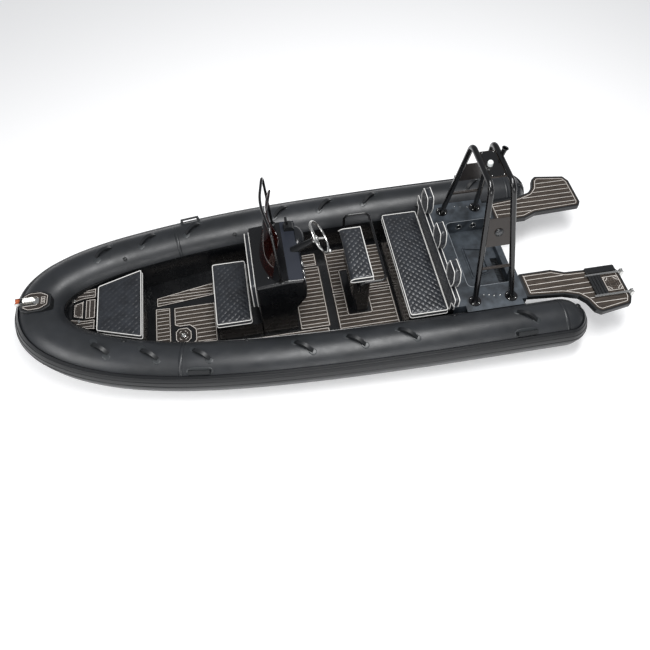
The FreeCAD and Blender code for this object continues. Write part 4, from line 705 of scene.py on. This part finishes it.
def layForedeckPads():
    # hatch pad on its lid, the cheeks beside it and a strip aft of it
    deck, step = 0.440, 0.719
    # thinner pale lines, on the darker foam of painted shade
    thin = {"width": 0.0035, "key": "foamPaintedShade"}
    deckPanel("hatch_pad", [(4.853, -0.116), (4.957, -0.082), (4.957, 0.082), (4.853, 0.116)], deck,
              (0.008, 0.03), planks=False, corner=0.01, body="anchor_hatch", **thin)
    cheek = np.array([(4.722, 0.145), (4.722, 0.275), (4.85, 0.258), (4.945, 0.195), (4.99, 0.125),
                      (4.975, 0.112), (4.848, 0.145)])
    for side, name in bothSides:
        deckPanel("foredeck_" + name, cheek * [1, side], deck, (0.008,), pitch=0.046, corner=0.01, **thin)
    deckPanel("foredeck_aft", rectangle((4.722, -0.13), (4.832, 0.13)), deck, (0.008,), pitch=0.046, axis=0,
              corner=0.01, **thin)
    # a horseshoe on the bow step, with square marks aft
    half = np.array([(5.135, -0.062), (5.215, -0.108), (5.33, -0.112), (5.395, -0.078), (5.395, -0.046),
                     (5.25, -0.046)])
    deckPanel("bow_step_pad", np.concatenate([half, half[::-1] * [1, -1]]), step, (0.006,), sheet=0.005,
              planks=False, **thin)
    for row in (-0.03, 0.0, 0.03):
        square = rectangle((5.165, row - 0.012), (5.205, row + 0.012))
        putMesh("bow_step_square_%d" % round(1000 * row + 100),
                ribbonRound(square, 0.003, step + 0.004, step + 0.0062), "line", bevel=0.0)


def platformOutline(inset):
    # the swim platform's edge: shares of its length aft of the transom, breadths from the centreline
    length, waist, wing, bench = 1.135, 0.46, 1.045, 0.712
    shares = [0.012, 0.34, 0.47, 0.97, 1, 1, 0.96, 0.65, 0.6, 0.56, 0.5, 0.36, 0.012]
    breadths = [0.4, 0.4, waist, waist + 0.02, waist + 0.08, wing - 0.14, wing - 0.055, wing, wing - 0.045,
                wing - 0.17, wing - 0.245, bench + 0.035, bench]
    return movedIn(np.column_stack([-length * np.array(shares), breadths]), inset)


layFloorPads()
layForedeckPads()
for side, name in bothSides:
    deckPanel("platform_pad_" + name, platformOutline(0.021) * [1, side], 0.495, (0.018,), sheet=0.008,
              pitch=0.07, corner=0.02, offset=0.01 * side)
print("stage: foam decking")


# on the collar: ridges of the strake, patches under the handles, seam tapes, valves and end fittings

onTube = {"ridgeAngles": (57, 68, 79), "ridgeLift": 0.016, "ridge": 0.0045,
          "grips": (4.61, 4.115, 3.585, 2.53, 1.98, 1.43, 0.12), "gripReach": 0.112, "gripHeading": 141,
          "gripPatch": (0.085, 0.07), "carry": (3.595, 0.17), "carryAngle": 40, "carryPatch": (0.27, 0.1),
          "seams": (3.79, -0.30), "tape": 0.04, "tapeAngles": (-70, 50), "patchRound": 3.5,
          "valves": ((0.86, -42), (3.12, -42), (4.42, -36)),
          "valve": [(0.027, -0.003), (0.027, 0.002), (0.0235, 0.0035), (0.0225, 0.002), (0.017, 0.002),
                    (0.0165, 0.008), (0.0145, 0.0105), (0.0005, 0.011)],
          "eye": [(0.03, -0.02), (0.03, 0.006), (0.026, 0.01), (0.014, 0.012), (0.0005, 0.013)]}


def collarPatch(x, angle, length, width, heading, thickness, side, steps=(17, 11)):
    # an oval pad on the collar: heading in degrees turns its length from the collar's axis
    along = np.linspace(-1, 1, steps[0])[:, None]
    across = np.linspace(-1, 1, steps[1])[None, :]
    half = np.clip(1 - np.abs(along) ** onTube["patchRound"], 0, 1) ** 0.5
    u, v = along * length / 2, across * half * width / 2
    turn = math.radians(heading)
    forward = u * math.cos(turn) - v * math.sin(turn)
    around = u * math.sin(turn) + v * math.cos(turn)
    rim = np.clip(1 - np.abs(across), 0, 1) ** 0.4 * half
    top, under = [wrapped(x, angle, forward, around, lift, side)
                  for lift in (0.0006 + thickness * rim, np.full_like(rim, -0.002))]
    return gridPiece(np.concatenate([top, under[:, ::-1]], axis=1), False, True, True)


def strakePath(angle):
    # along the port strake: round the domed end, then by the collar's stations to the bow and back
    tilt = math.radians(angle)
    reach = collar["radius"] + onTube["ridgeLift"]
    turn = np.radians(np.linspace(100, 0, 30))[:-1]
    centre = np.array([collar["domeX"], collar["halfBeam"], collar["height"]])
    out = np.column_stack([-np.sin(turn), np.cos(turn), np.zeros(len(turn))])
    dome = centre + reach * (out * math.sin(tilt) + np.array([0, 0, math.cos(tilt)]))
    port = np.concatenate([dome, onCollar(lineX, angle, reach)[:-3]])
    return np.concatenate([port, (port * [1, -1, 1])[::-1]])


def seamTape(x, side):
    # a thin band round the tube with its edges tucked in
    stations = np.array([-0.5, -0.5, 0, 0.5, 0.5]) * onTube["tape"]
    angles, across = np.meshgrid(np.linspace(*onTube["tapeAngles"], 40), stations)
    lift = np.broadcast_to(np.array([-0.001, 0.0005, 0.0007, 0.0005, -0.001])[:, None], angles.shape)
    return gridPiece(wrapped(x, 0, across, np.radians(angles) * collar["radius"], lift, side))


def valveCap(x, angle, side):
    # a round cap on the collar: circles of (radius, lift) wrapped on the tube's surface
    radii, lifts = np.array(onTube["valve"]).T[:, :, None]
    turn = np.linspace(0, 2 * np.pi, 28, endpoint=False)
    lift = np.broadcast_to(lifts, (len(lifts), len(turn)))
    return gridPiece(wrapped(x, angle, radii * np.cos(turn), radii * np.sin(turn), lift, side),
                     False, True, True)


def dressCollar():
    ridges = [tubeAlong(strakePath(angle), onTube["ridge"], 6) for angle in onTube["ridgeAngles"]]
    putMesh("strake_ridges", ridges, "strap")
    # a patch under each end of a grip, along its heading from the middle, and one under each carry handle
    heading = onTube["gripHeading"]
    step = onTube["gripReach"] * math.cos(math.radians(heading))
    lean = math.degrees(onTube["gripReach"] * math.sin(math.radians(heading)) / collar["radius"])
    patches = []
    for side in (1, -1):
        patches += [collarPatch(x + end * step, end * lean, *onTube["gripPatch"], heading, 0.003, side)
                    for x in onTube["grips"] for end in (-1, 1)]
        patches += [collarPatch(x, onTube["carryAngle"], *onTube["carryPatch"], 0, 0.004, side, (33, 15))
                    for x in onTube["carry"]]
    putMesh("handle_patches", patches, "patch")
    putMesh("seam_tapes", [seamTape(x, side) for side in (1, -1) for x in onTube["seams"]], "collar")
    caps = [valveCap(x, angle, side) for x, angle in onTube["valves"] for side in (1, -1)]
    putMesh("inflation_valves", caps, "nylon")
    eyes = [lathe(onTube["eye"], (-0.50, side * 0.93, 0.508), (-0.35, 0, 0.94), 24) for side in (1, -1)]
    putMesh("end_fittings", eyes, "nylon")


dressCollar()
print("stage: collar")

# fittings of the stern: splash well, hatch and arch feet
stern = {"deck": 0.5, "wellFloor": 0.3, "wellHalf": 0.48, "wellFore": 0.6, "wellAft": 0.066, "round": 0.07,
         "lid": (0.23, 0.41, 0.16, 0.20), "scuppers": (0.23, 0.41), "feet": ((0.585, 0.67), (0.17, 0.67)),
         "footBolts": 0.052, "foot": 0.008, "stud": 0.009,
         "studs": ((0.461, 0.607), (0.406, 0.617), (0.354, 0.633), (0.287, 0.638),
                   (0.413, -0.721), (0.341, -0.708), (0.257, -0.693)),
         "pull": [(0.034, 0.0), (0.034, 0.003), (0.028, 0.004), (0.026, 0.0015), (0.0005, 0.0015)],
         "scupper": [(0.030, 0.0), (0.030, 0.004), (0.041, 0.004), (0.043, 0.0)],
         "grate": ((0.064, -0.016), (0.148, 0.456)), "bars": (-0.012, 0.45, 0.024), "bar": 0.007,
         "coaming": {"out": 0.03, "round": 0.02, "width": 0.016, "height": 0.009}, "bead": 0.0035,
         "pullSpot": (0.29, 0.06), "pullRing": (0.018, 0.022), "pullWire": 0.0028, "pullLift": 0.005}
headProfile = np.array([(1.0, 0.0), (1.0, 0.25), (0.8, 0.6), (0.45, 0.85), (0.03, 0.92)])
up = (0, 0, 1)


def boltHead(place, axis, radius):
    # a domed head: the shared profile scaled to its radius
    return lathe(headProfile * radius, place, axis, 12)


def fitStern():
    floor, half = stern["wellFloor"], stern["wellHalf"]
    heads = [boltHead((x, y, stern["deck"]), up, stern["stud"]) for x, y in stern["studs"]]
    for x, y in stern["feet"]:
        for side in (1, -1):
            for turn in np.radians([45, 135, 225, 315]):
                spread = stern["footBolts"] * np.array([math.cos(turn), math.sin(turn), 0.0])
                foot = (x, side * y, stern["deck"] + stern["foot"])
                heads.append(boltHead(foot + spread, up, stern["stud"]))
    putMesh("stern_studs", heads, "steel")
    coaming = stern["coaming"]
    rim = roundedRoute(movedIn(trapezoid(*stern["lid"]), -coaming["out"]), coaming["round"], 5, closed=True)
    ring = ribbonRound(rim, coaming["width"], floor, floor + coaming["height"])
    putMesh("hatch_coaming", ring, "deck", bevel=0.003)
    pull = [lathe(stern["pull"], (*stern["pullSpot"], floor), up, 28),
            loopAt((*stern["pullSpot"], floor + stern["pullLift"]), stern["pullRing"], stern["pullWire"], 28)]
    putMesh("stern_hatch_pull", pull, "steel", "stern_hatch")
    rings = [lathe(stern["scupper"], (x, -half, 0.4), (0, 1, 0), 32, closed=True) for x in stern["scuppers"]]
    putMesh("scupper_rings", rings, "steel")
    (aft, starboard), (fore, port) = stern["grate"]
    bars = [box((aft, y, 0.28), (fore, y + stern["bar"], 0.29)) for y in np.arange(*stern["bars"])]
    bars += [box((x, starboard, 0.276), (x + 0.006, port, 0.288)) for x in (aft, fore - 0.006)]
    putMesh("drain_grating", bars, "nylon", bevel=0.0012)
    corners = [(stern["wellAft"], half), (stern["wellFore"], half), (stern["wellFore"], -half),
               (stern["wellAft"], -half)]
    bead = roundedRoute(atLevel(corners, stern["deck"]), stern["round"], 9)
    putMesh("well_edge_bead", tubeAlong(bead, stern["bead"], 8), "trim")


fitStern()

# the ladder's treads on the port platform, the pad between its rails and the boarding block
ladder = {"first": -0.8842, "pitch": 0.036, "tread": 0.028, "rail": 0.5255, "inner": 0.584, "outer": 0.836,
          "lap": 0.001, "low": -0.0095, "high": 0.0105, "rib": 0.0028, "ribPitch": 0.0068, "ribFrom": 0.0035,
          "ribLow": 0.010, "ribHigh": 0.012, "ribMargin": 0.006}
platformTop = 0.503
block = {"low": (-1.1, 0.467), "high": (-0.75, 0.549), "round": 0.018, "height": 0.028,
         "ribs": (-1.08, -0.77, 0.0225), "rib": 0.008, "ribMargin": 0.01, "sunk": 0.0005, "proud": 0.0025}


def fitPlatforms():
    inner, outer, rail, margin = [ladder[key] for key in ("inner", "outer", "rail", "ribMargin")]
    treads = []
    for start in ladder["first"] + ladder["pitch"] * np.arange(4):
        treads.append(box((start - ladder["lap"], inner, rail + ladder["low"]),
                          (start + ladder["tread"] + ladder["lap"], outer, rail + ladder["high"])))
        treads += [box((x, inner + margin, rail + ladder["ribLow"]),
                       (x + ladder["rib"], outer - margin, rail + ladder["ribHigh"]))
                   for x in start + ladder["ribFrom"] + ladder["ribPitch"] * np.arange(4)]
    putMesh("ladder_treads", treads, "strap", "ladder", bevel=0.001)
    deckPanel("platform_island", rectangle((-1.1, 0.6), (-0.905, 0.805)), platformTop + 0.0005,
              (0.008, 0.036, 0.064), sheet=0.005, planks=False)
    outline = roundedBox(block["low"], block["high"], block["round"])
    top = platformTop + block["height"]
    putMesh("boarding_block", slabFrom(outline, platformTop, top), "nylon", bevel=0.006)
    inner, outer = block["low"][1] + block["ribMargin"], block["high"][1] - block["ribMargin"]
    ribs = [box((x, inner, top - block["sunk"]), (x + block["rib"], outer, top + block["proud"]))
            for x in np.arange(*block["ribs"])]
    putMesh("boarding_block_ribs", ribs, "strap", bevel=0.001)


fitPlatforms()

# on the arch: rod holder's lip, lamps on the side plates and the cover of the top plate
arch = {"rod": (0.36, -0.1, 1.825), "rodWay": (-0.03, 0.0, 0.15), "plate": (0.4353, 0.4389, 1.365),
        "plateOut": (0.0, 0.9661, 0.2581), "lampLift": 0.004,
        "cover": {"low": (0.395, -0.176), "high": (0.545, 0.176), "round": 0.02, "levels": (1.888, 1.892),
                  "screw": 0.006, "screwMargins": (0.015, 0.016)},
        "flare": [(0.0255, -0.03), (0.026, -0.012), (0.030, -0.002), (0.0345, 0.0015), (0.034, 0.005),
                  (0.029, 0.004), (0.0235, -0.004), (0.0215, -0.03)],
        "bezel": [(0.046, 0.0), (0.046, 0.008), (0.040, 0.012), (0.036, 0.009), (0.0005, 0.009)],
        "glass": [(0.035, 0.009), (0.033, 0.0115), (0.02, 0.014), (0.0005, 0.015)]}


def fitArch():
    way = np.array(arch["rodWay"])
    putMesh("rod_holder_lip", lathe(arch["flare"], arch["rod"] + way, way, 32, closed=True), "nylon")
    out = np.array(arch["plateOut"])
    for name, profile, key in (("bezels", "bezel", "coat"), ("lenses", "glass", "lensDark")):
        lamps = [lathe(arch[profile], (arch["plate"] + out * arch["lampLift"]) * [1, side, 1],
                       out * [1, side, 1], 36) for side in (1, -1)]
        putMesh("plate_lamp_" + name, lamps, key)
    cover = arch["cover"]
    outline = roundedBox(cover["low"], cover["high"], cover["round"])
    putMesh("arch_top_cover", slabFrom(outline, *cover["levels"]), "coat", bevel=0.0015)
    margin = np.array(cover["screwMargins"])
    spots = rectangle(cover["low"] + margin, cover["high"] - margin)
    screws = [boltHead((*spots[k], cover["levels"][1]), up, cover["screw"]) for k in (0, 3, 1, 2)]
    putMesh("arch_cover_screws", screws, "steel")


fitArch()

# the helm: its raked face by a low point and the slope's direction, the dash above it, and what they carry
helm = {"faceLow": (2.40, 0.83), "faceUp": (0.1843, 0.9829), "dash": (2.434, 2.586), "dashHalf": 0.405,
        "dashTop": 0.99, "dashRise": 0.01 / 0.16, "panelTop": 0.003,
        "gauges": ((0.265, 0.098, 0.040), (0.155, 0.098, 0.040), (0.35, 0.105, 0.026)),
        "switches": (0.12, 0.15, 0.18, 0.21, 0.24, 0.27), "plotter": (-0.205, 0.052),
        "pod": {"middle": (2.436, -0.205, 0.925), "reach": 0.102, "half": 0.15, "rise": 0.082},
        "flange": [(0.034, -0.004), (0.034, 0.004), (0.028, 0.007), (0.0142, 0.008)]}
faceSlope = np.array([helm["faceUp"][0], 0.0, helm["faceUp"][1]])
faceOut = np.array([-helm["faceUp"][1], 0.0, helm["faceUp"][0]])


def faceSpot(across, rise, lift=0.0):
    # a point of the raked helm face: across the boat, up the slope and off it
    low = np.array([helm["faceLow"][0], across, helm["faceLow"][1]])
    return low + faceSlope * rise + faceOut * lift


def facePanel(across, rise, halfWide, halfTall, low, high, corner=0.01):
    # a rounded plate on the helm face: a flat outline raised, then laid on the slope
    outline = roundedBox((-halfTall, -halfWide), (halfTall, halfWide), corner, 5)
    vertices, faces = slabFrom(outline, low, high)
    return faceSpot(across, rise) + vertices @ np.array([faceSlope, [0.0, 1.0, 0.0], faceOut]), faces


def gaugeMarks(across, rise, radius):
    # ticks round a gauge, each turned about the gauge's middle
    vertices, faces = facePanel(across, rise + radius - 0.012, 0.0006, 0.003, 0.0058, 0.0066, 0.0002)
    centre = faceSpot(across, rise)
    turns = [np.array(Matrix.Rotation(math.radians(angle), 3, Vector(faceOut)))
             for angle in range(-120, 121, 24)]
    return [((vertices - centre) @ turn.T + centre, faces) for turn in turns]


def instrumentPod():
    # a rounded hood on the dash edge: each upright slice is part of an ellipse, smaller towards the ends
    pod = helm["pod"]
    middle = np.array(pod["middle"])
    turn = np.radians(np.linspace(-88, 88, 30))[:, None]
    lift = np.radians(np.linspace(-28, 90, 20))
    share = np.cos(turn) ** 0.75
    aft = middle[0] - pod["reach"] * share * np.cos(lift)
    across = np.broadcast_to(middle[1] + pod["half"] * np.sin(turn), aft.shape)
    high = middle[2] + pod["rise"] * share ** 0.6 * np.sin(lift)
    skin = np.stack([aft, across, high], axis=-1)
    back = skin[:, [-1, 0]].copy()
    back[:, :, 0] = middle[0] + 0.006
    return gridPiece(np.concatenate([skin, back], axis=1), False, True, True)


def fitConsole():
    # the dash top and the helm face panel below it carry that navy of painted sky reflection
    outline = roundedBox((helm["dash"][0], -helm["dashHalf"]), (helm["dash"][1], helm["dashHalf"]), 0.025)
    vertices, faces = slabFrom(outline, helm["dashTop"], helm["dashTop"] + 0.0035)
    vertices[:, 2] += helm["dashRise"] * (vertices[:, 0] - 2.43)
    putMesh("dash_panel", (vertices, faces), "dash", bevel=0.0012)
    top, plotter = helm["panelTop"], helm["plotter"]
    putMesh("helm_panel", facePanel(0.0, 0.08, 0.395, 0.070, 0.0, top, 0.015), "dash", bevel=0.001)
    bezels, dials, marks = [], [], []
    for across, rise, radius in helm["gauges"]:
        spot = faceSpot(across, rise, top)
        bezels.append(lathe([(radius, 0.0), (radius, 0.006), (radius - 0.004, 0.009), (radius - 0.006, 0.005),
                             (radius - 0.007, 0.002)], spot, faceOut, 36))
        dials.append(lathe([(radius - 0.006, 0.0025), (0.0005, 0.003)], spot, faceOut, 36))
        marks += gaugeMarks(across, rise, radius)
    putMesh("gauge_bezels", bezels, "chrome")
    putMesh("gauge_glasses", dials, "glass")
    putMesh("gauge_marks", marks, "dial", bevel=0.0)
    rockers = [(across, 0.032, 0.010, 0.017, top, 0.010, 0.003) for across in helm["switches"]]
    legends = [(across, 0.038, 0.003, 0.0012, 0.0098, 0.0104, 0.0003) for across in helm["switches"]]
    for name, panels, key, bevel in (
            ("plotter_case", [(*plotter, 0.092, 0.044, top, 0.014)], "nylon", 0.004),
            ("plotter_screen", [(*plotter, 0.080, 0.034, 0.0135, 0.015, 0.004)], "glass", 0.0005),
            ("rocker_switches", rockers, "nylon", 0.0015), ("rocker_marks", legends, "dial", 0.0)):
        putMesh(name, [facePanel(*panel) for panel in panels], key, bevel=bevel)
    putMesh("instrument_pod", instrumentPod(), "cowl")
    screws = [boltHead((2.79, y, 0.9765), (0.117, 0, 0.993), 0.0065) for y in np.linspace(-0.25, 0.31, 8)]
    putMesh("screen_screws", screws, "steel")
    flanges = [lathe(helm["flange"], (2.6605, side * 0.4035, 0.9915), (0.08, 0, 1), 28) for side in (1, -1)]
    putMesh("screen_hoop_flanges", flanges, "coat")


fitConsole()

# a cap inside the hub's radius, and a spinner knob on the rim at an angle below level
wheel = {"hub": 0.037, "rim": 0.18, "knobAngle": math.radians(42),
         "cap": [(0.034, -0.002), (0.034, 0.003), (0.027, 0.009), (0.012, 0.012), (0.0005, 0.0125)],
         "knob": [(0.007, 0.008), (0.008, 0.022), (0.019, 0.027), (0.0225, 0.038), (0.018, 0.049),
                  (0.0005, 0.053)]}


def fitWheel():
    # both stand on the steering joint's axis; the cap lies on the hub's highest vertices
    steering = [joint for joint in frame["record"]["behaviour"]["joints"] if joint["name"] == "steering"][0]
    centre = np.array(steering["pos_m"], float)
    axis = np.array(steering["axis"], float)
    spots = verticesOf(nodes["steering_wheel"]) - centre
    along = spots @ axis
    radial = np.linalg.norm(spots - along[:, None] * axis, axis=1)
    cap = lathe(wheel["cap"], centre + axis * along[radial < wheel["hub"]].max(), axis, 36)
    level = np.array([0.0, 1.0, 0.0])
    towards = math.cos(wheel["knobAngle"]) * level + math.sin(wheel["knobAngle"]) * np.cross(axis, level)
    knob = lathe(wheel["knob"], centre + wheel["rim"] * towards, axis, 28)
    putMesh("wheel_hub_cap", [cap, knob], "chrome", "wheel")


fitWheel()


def latch(place, out, along, size):
    # an over-centre catch: a base plate with a rounded lever on it, as two raised outlines
    axes = np.array([along, np.cross(out, along), out], float)
    parts = []
    for wide, tall, low, high in ((1.0, 0.55, 0.0, 0.004), (0.62, 0.34, 0.003, 0.011)):
        half = size * np.array([wide, tall]) / 2
        vertices, faces = slabFrom(roundedBox(-half, half, size * 0.12, 5), low, high)
        parts.append((np.asarray(place) + vertices @ axes, faces))
    return joinParts(parts)


# catches on the foredeck: place, the way along and size; and on the locker fronts: place, the way out and
# the y of each
foredeckCatches = (((4.893, 0.150, 0.4465), (0.3, -0.954, 0), 0.042),
                   ((4.953, -0.130, 0.4465), (0.3, 0.954, 0), 0.038))
lockerCatches = ((4.2148, 0.325, (-1, 0, 0), (-0.17, 0.05)), (3.4252, 0.28, (1, 0, 0), (-0.22, 0.22)),
                 (1.3302, 0.385, (1, 0, 0), (-0.35, 0.35)))
floorRing = {"centre": (3.835, 0.28), "low": 0.0665, "radius": 0.022, "wire": 0.003, "wireLift": 0.008,
             "plate": [(0.03, 0.0), (0.03, 0.003), (0.026, 0.0045), (0.0005, 0.0045)]}


def fitLatches():
    onDeck = [latch(place, up, along, size) for place, along, size in foredeckCatches]
    putMesh("foredeck_latches", onDeck, "steel", bevel=0.0015)
    onLockers = [latch((x, y, z), out, (0, 1, 0), 0.05)
                 for x, z, out, places in lockerCatches for y in places]
    putMesh("locker_latches", onLockers, "nylon", bevel=0.0015)
    plate = lathe(floorRing["plate"], (*floorRing["centre"], floorRing["low"]), up, 28)
    loop = loopAt((*floorRing["centre"], floorRing["low"] + floorRing["wireLift"]),
                  (floorRing["radius"], floorRing["radius"]), floorRing["wire"], 30)
    putMesh("floor_ring", [plate, loop], "steel")


fitLatches()
print("stage: fittings")


# camera, light and floor: the camera's angles in radians, its focal length and middle in pixels

view = {"eye": (2.82099, 4.18387, 6.14588), "yaw": -0.159249, "pitch": 0.970595, "roll": -0.0121767,
        "focal": 620.02, "middle": (324.82, 300.04), "frame": 650.0, "sensor": 36.0}
# each lamp's place, what it faces, its sides and its watts; the strength of even light; the floor's half side
studioLamps = {"overhead": ((1.2, 0.9, 7.5), (2.2, 0, 0.3), (6.0, 2.2), 600.0),
               "bowLamp": ((8.5, 3.0, 4.5), (3.5, 0, 0.4), (3.0, 3.0), 200.0),
               "sideLamp": ((1.0, 7.0, 3.5), (2.0, 0, 0.2), (6.0, 2.0), 150.0)}
ambient = 0.32
floorHalf = 40
pureWhite = (1.0, 1.0, 1.0, 1.0)


def placeCamera():
    # turned about the vertical, down and about its own axis; pixels over the picture's side give the lens
    data = bpy.data.cameras.new("camera")
    data.sensor_width = view["sensor"]
    data.lens = view["focal"] / view["frame"] * view["sensor"]
    data.shift_x = (view["frame"] / 2 - view["middle"][0]) / view["frame"]
    data.shift_y = (view["middle"][1] - view["frame"] / 2) / view["frame"]
    data.clip_end = 200.0
    camera = bpy.data.objects.new("camera", data)
    camera.matrix_world = (Matrix.Translation(view["eye"]) @ Matrix.Rotation(math.pi + view["yaw"], 4, "Z")
                           @ Matrix.Rotation(math.pi / 2 - view["pitch"], 4, "X")
                           @ Matrix.Rotation(view["roll"], 4, "Z"))
    scene.collection.objects.link(camera)
    scene.camera = camera


def lightStudio():
    # even light for the object, white for the camera, and area lamps that face their targets
    world = bpy.data.worlds.new("studio")
    scene.world = world
    world.use_nodes = True
    tree = world.node_tree
    tree.nodes.clear()
    even = addNode(tree, "Background", None, {"Color": (0.93, 0.95, 1.0, 1.0), "Strength": ambient})
    white = addNode(tree, "Background", None, {"Color": pureWhite, "Strength": 1.0})
    shown = addNode(tree, "LightPath")
    mixer = addNode(tree, "MixShader", None, {0: shown.outputs["Is Camera Ray"], 1: even.outputs[0],
                                              2: white.outputs[0]})
    addNode(tree, "OutputWorld", None, {"Surface": mixer.outputs[0]})
    for name, (place, target, size, watts) in studioLamps.items():
        data = bpy.data.lights.new(name, "AREA")
        data.shape = "RECTANGLE"
        data.size, data.size_y = size
        data.energy = watts
        lamp = bpy.data.objects.new(name, data)
        lamp.location = place
        lamp.rotation_euler = (Vector(target) - Vector(place)).to_track_quat("-Z", "Y").to_euler()
        scene.collection.objects.link(lamp)


def layFloor():
    # a matte floor that also glows where a ray comes from the camera, a mirror or glass
    mesh = bpy.data.meshes.new("studioFloor")
    corners = rectangle((-floorHalf, -floorHalf), (floorHalf, floorHalf))
    mesh.from_pydata([(x, y, 0) for x, y in corners], [], [[0, 1, 2, 3]])
    material = bpy.data.materials.new("paintedFloor")
    material.use_nodes = True
    tree = material.node_tree
    tree.nodes.clear()
    matte = addNode(tree, "BsdfDiffuse", None, {"Color": (0.82, 0.82, 0.82, 1.0)})
    glow = addNode(tree, "Emission", None, {"Color": pureWhite, "Strength": ambient})
    dark = addNode(tree, "Emission", None, {"Strength": 0.0})
    path = addNode(tree, "LightPath")
    shown = path.outputs["Is Camera Ray"]
    for ray in ("Is Glossy Ray", "Is Transmission Ray"):
        either = addNode(tree, "Math", {"operation": "MAXIMUM"}, {0: shown, 1: path.outputs[ray]})
        shown = either.outputs["Value"]
    mixer = addNode(tree, "MixShader", None, {0: shown, 1: dark.outputs[0], 2: glow.outputs[0]})
    both = addNode(tree, "AddShader", None, {0: matte.outputs[0], 1: mixer.outputs[0]})
    addNode(tree, "OutputMaterial", None, {"Surface": both.outputs[0]})
    mesh.materials.append(material)
    floor = bpy.data.objects.new("studioFloor", mesh)
    scene.collection.objects.link(floor)


placeCamera()
lightStudio()
layFloor()
scene.view_settings.view_transform = "Standard"
print("stage: camera, light and floor")

print("stage: done")
